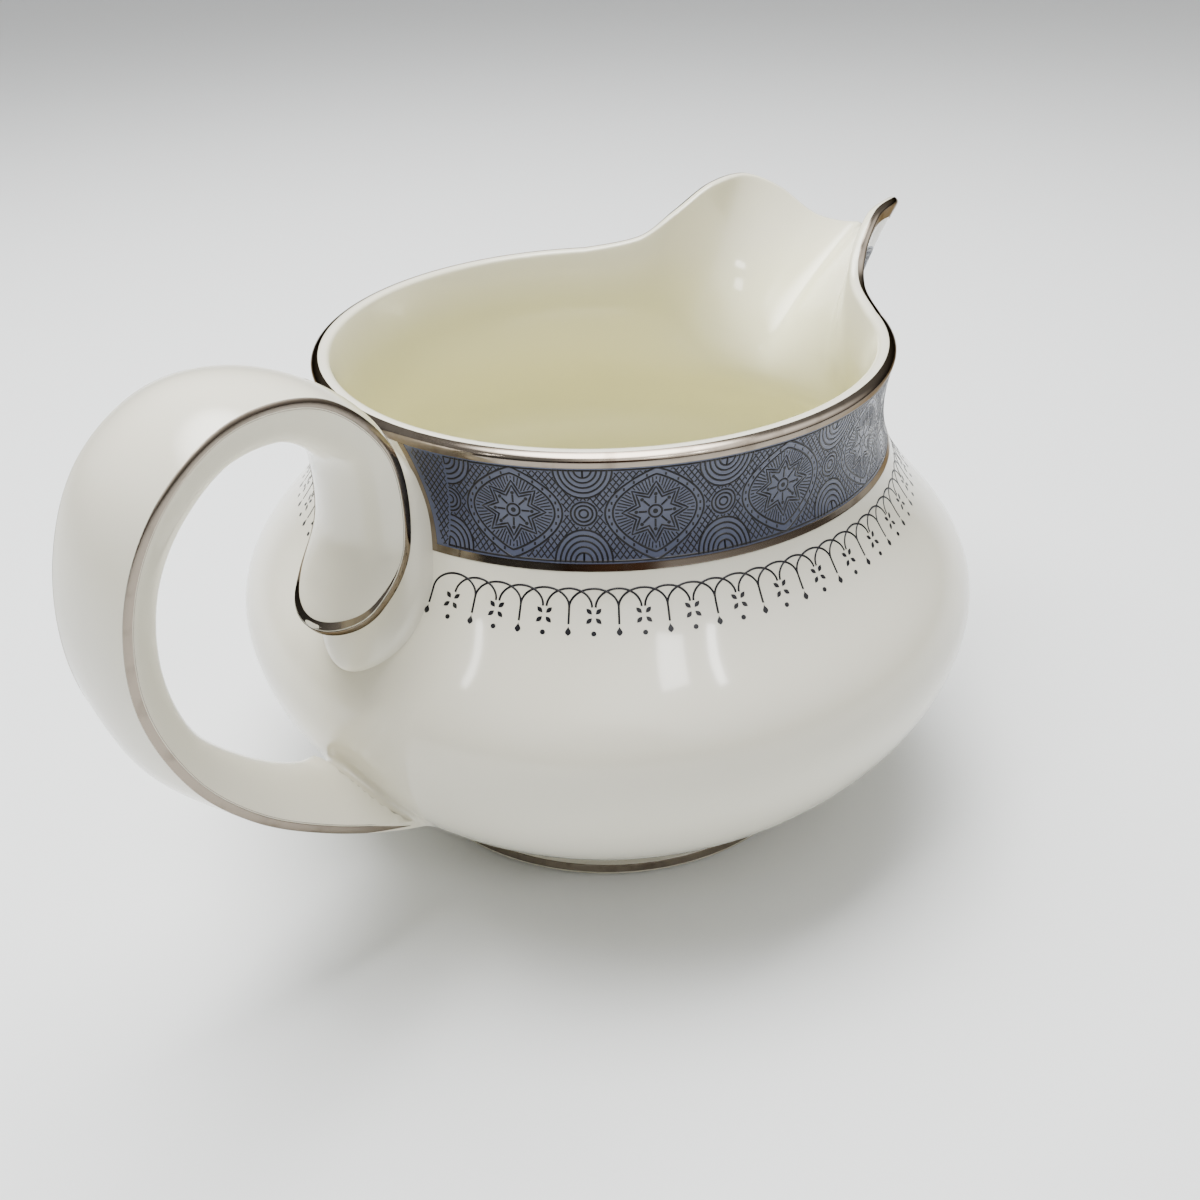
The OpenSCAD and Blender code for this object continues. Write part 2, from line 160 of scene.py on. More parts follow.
@dataclass(frozen=True)
class JugShape:
    """Outside form of the bowl, its neck and its drawn-out lip. Outline points are radius and height."""

    belly: tuple = (52.2, 32.0)
    root: tuple = (31.8, 3.0)
    neck: tuple = (37.5, 60.0)
    rim: tuple = (38.3, 66.1)
    rim_rise: float = 0.9
    wall: float = 2.4
    rim_crown: float = 0.7
    under_pull: float = 0.53
    shoulder_pulls: tuple = (0.375, 0.518)
    lip_reach: float = 29.9
    lip_half_w: float = 14.4
    wing_rise: float = 8.3
    lip_thin: float = 0.4
    lip_start_z: float = 47.0
    lip_span: float = 44.0
    lip_ease: float = 1.3
    # Edge of the lip from its middle to the circle, as shares of its reach, half width and rise
    lip_shares: tuple = (
        (1, 0, -0.149), (0.817, 0.396, 0.086), (0.669, 0.765, 0.677), (0.478, 1, 1),
        (0.231, 1.083, 0.979), (0.002, 1.219, 0.578), (-0.157, 1.418, 0.167),
    )
    curve_steps: int = 60
    up_step: float = 0.15
    round_step: float = 0.3

    def outline(self) -> np.ndarray:
        """Plain outline from the foot to the rim.

        Returns:
            Radius and height of each point.
        """
        t = np.linspace(0, 1, self.curve_steps)
        low, wide, thin, top = self.root, self.belly, self.neck, self.rim
        under = bezier([low, (wide[0], mix(low[1], wide[1], self.under_pull)), wide], t)
        pulls = [mix(wide[1], thin[1], s) for s in self.shoulder_pulls]
        shoulder = bezier([wide, (wide[0], pulls[0]), (thin[0], pulls[1]), thin], t)[1:]
        flare = np.stack([mix(thin[0], top[0], t**2), mix(thin[1], top[1], t)], -1)[1:]
        return np.concatenate([under, shoulder, flare])

    def radius(self, z: Values) -> np.ndarray:
        """Outer radius of the plain outline at heights z."""
        line = self.outline()
        return np.interp(z, line[:, 1], line[:, 0])

    def under_lip(self, a: Values) -> np.ndarray:
        """How far places are under the lip.

        Args:
            a: root angles.

        Returns:
            0 beside the lip, and up to 1 in its middle.
        """
        b = np.minimum(np.mod(a, TURN), TURN - np.mod(a, TURN))
        turn = np.radians(QUARTER_TURN * b / self.lip_span)
        return np.where(b < self.lip_span, np.cos(turn) ** 2, 0)

    def round_edge(self, a: Values) -> np.ndarray:
        """Outer edge of the rim as it would be without the lip, a little higher towards +X.

        Args:
            a: root angles.

        Returns:
            One point for each angle.
        """
        r, top = self.rim
        turn = np.radians(a)
        height = top + self.rim_rise * (1 + np.cos(turn)) / 2
        return np.stack([r * np.cos(turn), r * np.sin(turn), height], -1)

    def rim_edge(self, a: Values) -> np.ndarray:
        """Outer edge of the rim, which leaves the circle at the lip.

        Args:
            a: root angles.

        Returns:
            One point for each angle.
        """
        a = np.asarray(a, float)
        b = np.mod(a + HALF_TURN, TURN) - HALF_TURN
        step = self.lip_span / len(self.lip_shares)
        r, top = self.rim
        half = [[r + self.lip_reach * s[0], self.lip_half_w * s[1],
                 top + self.rim_rise + self.wing_rise * s[2]] for s in self.lip_shares]
        half = np.array(half + [self.round_edge(self.lip_span), self.round_edge(self.lip_span + step)])
        whole = np.concatenate([half[:0:-1] * [1, -1, 1], half])
        lip = through(whole, np.clip(len(half) - 1 + b / step, 0, len(whole) - 1))
        return np.where((np.abs(b) < self.lip_span)[..., None], lip, self.round_edge(b))

    def lift(self, z: Values) -> np.ndarray:
        """How far the lip has drawn the wall out at plain heights z, from 0 at its start to 1 at the rim."""
        return np.maximum(0, (z - self.lip_start_z) / (self.rim[1] - self.lip_start_z)) ** self.lip_ease

    def wall_at(self, a: Values, z: Values) -> np.ndarray:
        """Thickness of the wall, which thins towards the edge of the lip."""
        return self.wall * (1 - self.lip_thin * np.sqrt(self.under_lip(a)) * self.lift(z))

    def skin(self, a: Values, z: Values) -> np.ndarray:
        """Points of the outside.

        Args:
            a: root angles.
            z: plain heights, which broadcast with the angles.

        Returns:
            The points.
        """
        a, z = np.broadcast_arrays(np.asarray(a, float), np.asarray(z, float))
        r, turn = self.radius(z), np.radians(a)
        rim_r, top = self.rim
        plain = np.stack([rim_r * np.cos(turn), rim_r * np.sin(turn), 0 * a + top], -1)
        base = np.stack([r * np.cos(turn), r * np.sin(turn), z], -1)
        return base + (self.rim_edge(a) - plain) * self.lift(z)[..., None]

    def skin_up(self, a: Values, z: Values) -> np.ndarray:
        """Directions up the outside.

        Args:
            a: root angles.
            z: plain heights.

        Returns:
            Vectors of length one.
        """
        over = self.skin(a, np.minimum(z + self.up_step, self.rim[1]))
        under = self.skin(a, np.maximum(z - self.up_step, self.root[1]))
        return unit(over - under)

    def skin_out(self, a: Values, z: Values) -> np.ndarray:
        """Outward normals of the outside.

        Args:
            a: root angles.
            z: plain heights.

        Returns:
            Vectors of length one.
        """
        a = np.asarray(a)
        round_way = self.skin(a + self.round_step, z) - self.skin(a - self.round_step, z)
        return unit(np.cross(round_way, self.skin_up(a, z)))

    def raised(self, a: Values, z: Values, t: Values) -> np.ndarray:
        """Points over the outside by a thickness t."""
        return self.skin(a, z) + self.skin_out(a, z) * np.asarray(t, float)[..., None]

    def crown(self, a: Values, b: Values, t: float = 0.0) -> np.ndarray:
        """Points of the rounded crown of the rim.

        Args:
            a: root angles.
            b: angles over the crown, from the outer edge (0) to the inner one (180).
            t: thickness over it.

        Returns:
            The points.
        """
        top = self.rim[1]
        out, up = self.skin_out(a, top), self.skin_up(a, top)
        half = self.wall_at(np.asarray(a, float), top)[..., None] / 2
        mid = self.skin(a, top) - out * half
        turn = np.radians(np.asarray(b, float))[..., None]
        return mid + out * (half + t) * np.cos(turn) + up * (self.rim_crown + t) * np.sin(turn)

    def columns(self, lip_steps: int, round_steps: int) -> np.ndarray:
        """Root angles round the bowl, closest together at the lip.

        Args:
            lip_steps: columns on each side of the lip.
            round_steps: columns on the rest of the circle.

        Returns:
            The angles, from 0 up.
        """
        lip = np.linspace(0, self.lip_span, lip_steps, endpoint=False)
        rest = np.linspace(self.lip_span, TURN - self.lip_span, round_steps, endpoint=False)
        back = TURN - np.linspace(self.lip_span, 0, lip_steps, endpoint=False)
        return np.concatenate([lip, rest, back])


# Meshes


def add_object(name: str, data: bpy.types.ID) -> Piece:
    """New object in the scene, at the origin.

    Args:
        name: its name.
        data: its mesh, light or camera.

    Returns:
        The object.
    """
    made = bpy.data.objects.new(name, data)
    bpy.context.collection.objects.link(made)
    return made


def grid_faces(rows: int, cols: int, closed: bool) -> list:
    """Quads between rows of points.

    Args:
        rows: number of rows.
        cols: points in each row.
        closed: whether each row joins round to its start.

    Returns:
        Faces as point numbers.
    """
    faces = []
    for j in range(rows - 1):
        for i in range(cols if closed else cols - 1):
            k = (i + 1) % cols
            faces.append((j * cols + i, j * cols + k, (j + 1) * cols + k, (j + 1) * cols + i))
    return faces


def make_mesh(name: str, points: np.ndarray, faces: list, crease: float) -> Piece:
    """Smooth shaded mesh object with outward faces.

    Args:
        name: name of the object and its mesh.
        points: points in millimetres.
        faces: faces as point numbers.
        crease: edges sharper than this, in degrees, stay sharp.

    Returns:
        The new object, at the origin.
    """
    mesh = bpy.data.meshes.new(name)
    mesh.from_pydata((np.asarray(points) * MM).tolist(), [], faces)
    work = bmesh.new()
    work.from_mesh(mesh)
    bmesh.ops.remove_doubles(work, verts=work.verts, dist=WELD)
    bmesh.ops.dissolve_degenerate(work, edges=work.edges, dist=WELD)
    bmesh.ops.recalc_face_normals(work, faces=work.faces)
    for face in work.faces:
        face.smooth = True
    for edge in work.edges:
        edge.smooth = edge.calc_face_angle(0) < math.radians(crease)
    work.to_mesh(mesh)
    work.free()
    return add_object(name, mesh)


def lofted(name: str, rings: np.ndarray, ends: Sequence | None = None, crease: float = CREASE) -> Piece:
    """Closed solid from rings of points.

    Args:
        name: name of the piece.
        rings: array of rings, points and coordinates.
        ends: first and last middle point, or None when the last ring joins the first.
        crease: edges sharper than this, in degrees, stay sharp.

    Returns:
        The new object.
    """
    rings = np.asarray(rings)
    count, n = rings.shape[:2]
    points = rings.reshape(-1, 3)
    if ends is None:
        faces = [tuple(v % (count * n) for v in face) for face in grid_faces(count + 1, n, True)]
        return make_mesh(name, points, faces, crease)
    faces = grid_faces(count, n, True)
    c, last = count * n, (count - 1) * n
    faces += [(c, (i + 1) % n, i) for i in range(n)]
    faces += [(c + 1, last + i, last + (i + 1) % n) for i in range(n)]
    return make_mesh(name, np.concatenate([points, np.asarray(ends, float)]), faces, crease)


def strip_solid(name: str, sections: np.ndarray) -> Piece:
    """Closed solid from cross-sections in a row, with flat ends.

    Args:
        name: name of the piece.
        sections: array of sections, points and coordinates.

    Returns:
        The new object.
    """
    count, n = sections.shape[:2]
    faces = grid_faces(count, n, True)
    faces.append(tuple(range(n - 1, -1, -1)))
    faces.append(tuple((count - 1) * n + i for i in range(n)))
    return make_mesh(name, sections.reshape(-1, 3), faces, CREASE)


def lathe(name: str, outline: Sequence, steps: int = 256, crease: float = 50.0) -> Piece:
    """Ring turned from a closed outline.

    Args:
        name: name of the piece.
        outline: radius and height of its points.
        steps: number of places round the ring.
        crease: edges sharper than this, in degrees, stay sharp.

    Returns:
        The new object.
    """
    turn = np.radians(np.arange(steps) * TURN / steps)
    rings = [[(r * math.cos(t), r * math.sin(t), z) for r, z in outline] for t in turn]
    return lofted(name, np.array(rings), None, crease)


def rounded_outline(corners: Sequence, radii: Sequence, steps: int = 5) -> list:
    """Closed outline with rounded corners.

    Args:
        corners: its corners.
        radii: how far from each corner the rounding starts, 0 for a sharp one.
        steps: points on a rounded corner.

    Returns:
        The points of the outline.
    """
    out = []
    n = len(corners)
    for i, corner in enumerate(corners):
        p, a, b = (np.array(corners[k % n], float) for k in (i, i - 1, i + 1))
        r = radii[i]
        if r <= 0:
            out.append(tuple(corner))
            continue
        start, finish = p + unit(a - p) * r, p + unit(b - p) * r
        out += [tuple(q) for q in bezier([start, p, finish], np.linspace(0, 1, steps))]
    return out


# Materials


def linear(code: str) -> tuple:
    """Linear colour with alpha from an sRGB hex value, by the sRGB formula."""
    parts = [int(code.lstrip("#")[i:i + 2], 16) / 255 for i in (0, 2, 4)]
    return tuple(c / 12.92 if c <= 0.04045 else ((c + 0.055) / 1.055) ** 2.4 for c in parts) + (1.0,)


def add_node(tree: bpy.types.NodeTree, kind: str, settings: dict | None = None,
             links: dict | None = None) -> bpy.types.Node:
    """Adds a node with its settings and its links.

    Args:
        tree: node tree.
        kind: node type.
        settings: attribute names, or input sockets by number or name, with their values.
        links: input sockets by number or name, with the output sockets that feed them.

    Returns:
        The new node.
    """
    node = tree.nodes.new(kind)
    for key, value in (settings or {}).items():
        if isinstance(key, int) or key in node.inputs:
            node.inputs[key].default_value = value
        else:
            setattr(node, key, value)
    for key, value in (links or {}).items():
        tree.links.new(value, node.inputs[key])
    return node


def new_finish(name: str, settings: dict) -> tuple:
    """New material.

    Args:
        name: its name.
        settings: sockets of its surface shader with their values.

    Returns:
        The material, its node tree and its surface shader.
    """
    material = bpy.data.materials.new(name)
    material.use_nodes = True
    shader = material.node_tree.nodes["Principled BSDF"]
    for key, value in settings.items():
        shader.inputs[key].default_value = value
    return material, material.node_tree, shader


@dataclass(frozen=True)
class Glaze:
    """Clear gloss glaze over white bone china: slip-cast, fired and dipped.

    It looks bright, with sharp reflections. The well looks ivory because light bounces round in it.
    """

    name: str = "Clear glaze over white bone china"
    colour: str = "#E2DECC"
    # Painted bounce light: an ivory that stands in for light bouncing round inside the well
    well_bounce_colour: str = "#E6E3C0"
    roughness: float = 0.1
    ior: float = 1.52
    coat: float = 0.25
    coat_roughness: float = 0.03
    swell: float = 0.02
    swell_height_mm: float = 2.0
    swell_size_mm: float = 18.0

    def build(self) -> Finish:
        """Makes the finish, with painted bounce light in the well, set by the attribute 'well'.

        Returns:
            The material.
        """
        material, tree, shader = new_finish(self.name, {
            "Roughness": self.roughness, "IOR": self.ior, "Coat Weight": self.coat,
            "Coat Roughness": self.coat_roughness})
        well = add_node(tree, "ShaderNodeAttribute", {"attribute_name": "well"})
        # Mixes in the painted bounce light of the well by the attribute 'well'
        colours = {"data_type": "RGBA", COLOUR_A: linear(self.colour), COLOUR_B: linear(self.well_bounce_colour)}
        tint = add_node(tree, "ShaderNodeMix", colours, {0: well.outputs["Fac"]})
        tree.links.new(tint.outputs[COLOUR_OUT], shader.inputs["Base Color"])
        place = add_node(tree, "ShaderNodeTexCoord")
        # Slow swell of a dipped glaze, a few hundredths of a millimetre over two centimetres
        noise = add_node(tree, "ShaderNodeTexNoise", {"Scale": 1 / (self.swell_size_mm * MM), "Detail": 1.0},
                         {"Vector": place.outputs["Object"]})
        height = {"Strength": self.swell, "Distance": self.swell_height_mm * MM}
        bump = add_node(tree, "ShaderNodeBump", height, {"Height": noise.outputs["Fac"]})
        tree.links.new(bump.outputs["Normal"], shader.inputs["Normal"])
        return material


@dataclass(frozen=True)
class Lustre:
    """Fired platinum lustre, brushed on over the glaze: a warm grey mirror-like film with a little wear."""

    name: str = "Fired platinum lustre"
    colour: str = "#8D8377"
    worn_colour: str = "#766C60"
    edge_colour: str = "#9A9084"
    roughness: float = 0.12
    wear_roughness: float = 0.1
    wear_size_mm: float = 3.0
    wear_detail: float = 4.0
    # Where the noise turns into wear, and where it is full
    wear_limits: tuple = (0.52, 0.75)

    def build(self) -> Finish:
        """Makes the finish, with brush and wear marks a few millimetres long.

        Returns:
            The material.
        """
        material, tree, shader = new_finish(self.name, {
            "Metallic": 1.0, "Specular Tint": linear(self.edge_colour)})
        place = add_node(tree, "ShaderNodeTexCoord")
        grain = {"Scale": 1 / (self.wear_size_mm * MM), "Detail": self.wear_detail}
        noise = add_node(tree, "ShaderNodeTexNoise", grain, {"Vector": place.outputs["Object"]})
        limits = {"From Min": self.wear_limits[0], "From Max": self.wear_limits[1]}
        worn = add_node(tree, "ShaderNodeMapRange", limits, {"Value": noise.outputs["Fac"]})
        colours = {"data_type": "RGBA", COLOUR_A: linear(self.colour), COLOUR_B: linear(self.worn_colour)}
        tint = add_node(tree, "ShaderNodeMix", colours, {0: worn.outputs["Result"]})
        tree.links.new(tint.outputs[COLOUR_OUT], shader.inputs["Base Color"])
        dullness = {"To Min": self.roughness, "To Max": self.roughness + self.wear_roughness}
        gloss = add_node(tree, "ShaderNodeMapRange", dullness, {"Value": worn.outputs["Result"]})
        tree.links.new(gloss.outputs["Result"], shader.inputs["Roughness"])
        return material


@dataclass(frozen=True)
class Ink:
    """Ceramic print fired on the glaze: an even, slightly glossy colour film."""

    name: str
    colour: str
    roughness: float
    sheen: float

    def build(self) -> Finish:
        """Makes the finish.

        Returns:
            The material.
        """
        return new_finish(self.name, {"Base Color": linear(self.colour), "Roughness": self.roughness,
                                      "Specular IOR Level": self.sheen})[0]


def finish_piece(piece: Piece, finish: Finish | None = None, nodes: Sequence[str] = ()) -> None:
    """Dresses a piece and puts it on the jug's one body.

    Args:
        piece: the object.
        finish: its material, or None when it already has one.
        nodes: CAD nodes that it stands for.
    """
    if finish:
        piece.data.materials.append(finish)
    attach(piece, BODY)
    if nodes:
        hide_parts(*nodes)
    LOG.info("%s: %d faces", piece.name, len(piece.data.polygons))


# Geometry nodes


class PrintTree:
    """Geometry Nodes that repeat a flat motif in a row and lay it on a guide surface as a closed film."""

    inputs: tuple = (
        ("Strokes", "NodeSocketGeometry"), ("Fills", "NodeSocketObject"), ("Guide", "NodeSocketObject"),
        ("Count", "NodeSocketInt"), ("Pitch", "NodeSocketFloat"), ("Start", "NodeSocketFloat"),
        ("Stroke width", "NodeSocketFloat"), ("Film", "NodeSocketFloat"), ("Lift", "NodeSocketFloat"),
        ("Material", "NodeSocketMaterial"),
    )
    # Points of the flat drawing closer together than this, in millimetres, are one
    weld: float = 1e-4

    def __init__(self) -> None:
        """Builds the tree once; each print gets its own modifier."""
        self.tree = bpy.data.node_groups.new("Film on a surface", "GeometryNodeTree")
        face = self.tree.interface
        for name, kind in self.inputs:
            face.new_socket(name=name, in_out="INPUT", socket_type=kind)
        face.new_socket(name="Geometry", in_out="OUTPUT", socket_type="NodeSocketGeometry")
        given = add_node(self.tree, "NodeGroupInput").outputs
        motif = self.joined([self.filled(given), self.stroked(given)])
        laid = self.on_guide(given, self.row(given, motif))
        dressed = add_node(self.tree, "GeometryNodeSetMaterial", None,
                           {"Geometry": laid, "Material": given["Material"]})
        add_node(self.tree, "NodeGroupOutput", None, {"Geometry": dressed.outputs["Geometry"]})

    def joined(self, parts: Sequence) -> bpy.types.NodeSocket:
        """Joins parts of the flat drawing.

        Args:
            parts: outputs with geometry.

        Returns:
            Output with all of them.
        """
        join = add_node(self.tree, "GeometryNodeJoinGeometry")
        for part in parts:
            self.tree.links.new(part, join.inputs[0])
        return join.outputs[0]

    def stroked(self, given: bpy.types.NodeOutputs) -> bpy.types.NodeSocket:
        """Turns each polyline into a flat bar in the motif's own plane.

        Args:
            given: the tree's inputs.

        Returns:
            Output with the bars.
        """
        tree = self.tree
        curve = add_node(tree, "GeometryNodeMeshToCurve", None, {"Mesh": given["Strokes"]})
        upright = add_node(tree, "GeometryNodeSetCurveNormal", {"mode": "Z_UP"},
                           {"Curve": curve.outputs["Curve"]})
        bar = add_node(tree, "GeometryNodeCurvePrimitiveQuadrilateral", None,
                       {"Width": given["Stroke width"], "Height": given["Film"]})
        strokes = add_node(tree, "GeometryNodeCurveToMesh", {"Fill Caps": True},
                           {"Curve": upright.outputs["Curve"], "Profile Curve": bar.outputs["Curve"]})
        half = add_node(tree, "ShaderNodeMath", {"operation": "MULTIPLY", 1: 0.5}, {0: given["Film"]})
        rise = add_node(tree, "ShaderNodeCombineXYZ", None, {"Z": half.outputs[0]})
        raised = add_node(tree, "GeometryNodeSetPosition", None,
                          {"Geometry": strokes.outputs["Mesh"], "Offset": rise.outputs[0]})
        return raised.outputs["Geometry"]

    def filled(self, given: bpy.types.NodeOutputs) -> bpy.types.NodeSocket:
        """Gives the flat filled shapes their thickness and a back.

        Args:
            given: the tree's inputs.

        Returns:
            Output with the closed shapes.
        """
        tree = self.tree
        info = add_node(tree, "GeometryNodeObjectInfo", None, {"Object": given["Fills"]})
        fills = info.outputs["Geometry"]
        up = add_node(tree, "ShaderNodeCombineXYZ", {"Z": 1.0})
        thick = add_node(tree, "GeometryNodeExtrudeMesh", {"Individual": False},
                         {"Mesh": fills, "Offset": up.outputs[0], "Offset Scale": given["Film"]})
        back = add_node(tree, "GeometryNodeFlipFaces", None, {"Mesh": fills})
        solid = self.joined([back.outputs["Mesh"], thick.outputs["Mesh"]])
        welded = add_node(tree, "GeometryNodeMergeByDistance", {"Distance": self.weld}, {"Geometry": solid})
        return welded.outputs["Geometry"]

    def row(self, given: bpy.types.NodeOutputs, motif: bpy.types.NodeSocket) -> bpy.types.NodeSocket:
        """Puts one motif at each step of the row.

        Args:
            given: the tree's inputs.
            motif: output with the motif.

        Returns:
            Output with the row as real geometry.
        """
        tree = self.tree
        step = add_node(tree, "ShaderNodeCombineXYZ", None, {"X": given["Pitch"]})
        start = add_node(tree, "ShaderNodeCombineXYZ", None, {"X": given["Start"]})
        line = add_node(tree, "GeometryNodeMeshLine", {"mode": "OFFSET"}, {
            "Count": given["Count"], "Start Location": start.outputs[0], "Offset": step.outputs[0]})
        placed = add_node(tree, "GeometryNodeInstanceOnPoints", None,
                          {"Points": line.outputs["Mesh"], "Instance": motif})
        real = add_node(tree, "GeometryNodeRealizeInstances", None,
                        {"Geometry": placed.outputs["Instances"]})
        return real.outputs["Geometry"]

    def sampled(self, value: bpy.types.NodeSocket, guide: bpy.types.NodeSocket,
                at: bpy.types.NodeSocket) -> bpy.types.NodeSocket:
        """Reads a vector from the guide surface at flat places.

        Args:
            value: output with the guide's own values.
            guide: output with the guide's mesh.
            at: output with the flat places, as shares of the flat span.

        Returns:
            Output with the vectors.
        """
        tree = self.tree
        flat = add_node(tree, "GeometryNodeInputNamedAttribute",
                        {"data_type": "FLOAT_VECTOR", "Name": "flat"})
        node = add_node(tree, "GeometryNodeSampleUVSurface", {"data_type": "FLOAT_VECTOR"}, {"Mesh": guide})
        places = [s for s in node.inputs if "UV" in s.name]
        tree.links.new(value, [s for s in node.inputs if s.name == "Value" and s.enabled][0])
        tree.links.new(flat.outputs["Attribute"], places[0])
        tree.links.new(at, places[1])
        return [s for s in node.outputs if s.name == "Value" and s.enabled][0]

    def on_guide(self, given: bpy.types.NodeOutputs, row: bpy.types.NodeSocket) -> bpy.types.NodeSocket:
        """Moves each flat point (along, up, off) to its place on the guide.

        Args:
            given: the tree's inputs.
            row: output with the flat row.

        Returns:
            Output with the row on the surface.
        """
        tree = self.tree
        at = add_node(tree, "GeometryNodeInputPosition").outputs[0]
        split = add_node(tree, "ShaderNodeSeparateXYZ", None, {0: at}).outputs
        plane = add_node(tree, "ShaderNodeCombineXYZ", None, {"X": split["X"], "Y": split["Y"]})
        flat = add_node(tree, "ShaderNodeVectorMath", {"operation": "SCALE", "Scale": 1 / FLAT_SPAN},
                        {0: plane.outputs[0]}).outputs[0]
        info = add_node(tree, "GeometryNodeObjectInfo", None, {"Object": given["Guide"]})
        guide = info.outputs["Geometry"]
        out = add_node(tree, "GeometryNodeInputNamedAttribute",
                       {"data_type": "FLOAT_VECTOR", "Name": "out"})
        base = self.sampled(at, guide, flat)
        normal = self.sampled(out.outputs["Attribute"], guide, flat)
        height = add_node(tree, "ShaderNodeMath", {"operation": "ADD"}, {0: split["Z"], 1: given["Lift"]})
        off = add_node(tree, "ShaderNodeVectorMath", {"operation": "SCALE"},
                       {0: normal, "Scale": height.outputs[0]})
        small = add_node(tree, "ShaderNodeVectorMath", {"operation": "SCALE", "Scale": MM},
                         {0: off.outputs[0]})
        there = add_node(tree, "ShaderNodeVectorMath", {"operation": "ADD"}, {0: base, 1: small.outputs[0]})
        laid = add_node(tree, "GeometryNodeSetPosition", None,
                        {"Geometry": row, "Position": there.outputs[0]})
        return laid.outputs["Geometry"]

    def lay(self, name: str, motif: "Motif", guide: Piece, material: Finish, count: int, pitch: float,
            start: float, film: float, lift: float = 0.0) -> Piece:
        """Lays a row of motifs on a guide and makes it a plain mesh.

        Args:
            name: name of the piece.
            motif: strokes and fills in millimetres.
            guide: surface with its flat places and normals as attributes.
            material: finish of the film.
            count: number of motifs.
            pitch: distance between them.
            start: place of the first one.
            film: thickness of the film.
            lift: height of its underside over the guide.

        Returns:
            The new object, at the origin.
        """
        strokes, fills = motif.objects(name)
        modifier = strokes.modifiers.new("Print", "NODES")
        modifier.node_group = self.tree
        sockets = self.tree.interface.items_tree
        keys = {item.name: item.identifier for item in sockets if item.in_out == "INPUT"}
        values = {"Fills": fills, "Guide": guide, "Count": count, "Pitch": pitch, "Start": start,
                  "Stroke width": motif.stroke, "Film": film, "Lift": lift, "Material": material}
        for key, value in values.items():
            modifier[keys[key]] = value
        view = bpy.context.evaluated_depsgraph_get()
        mesh = bpy.data.meshes.new_from_object(strokes.evaluated_get(view), depsgraph=view)
        mesh.name = name
        strokes.modifiers.remove(modifier)
        for helper in (strokes, fills):
            bpy.data.objects.remove(helper)
        return add_object(name, mesh)


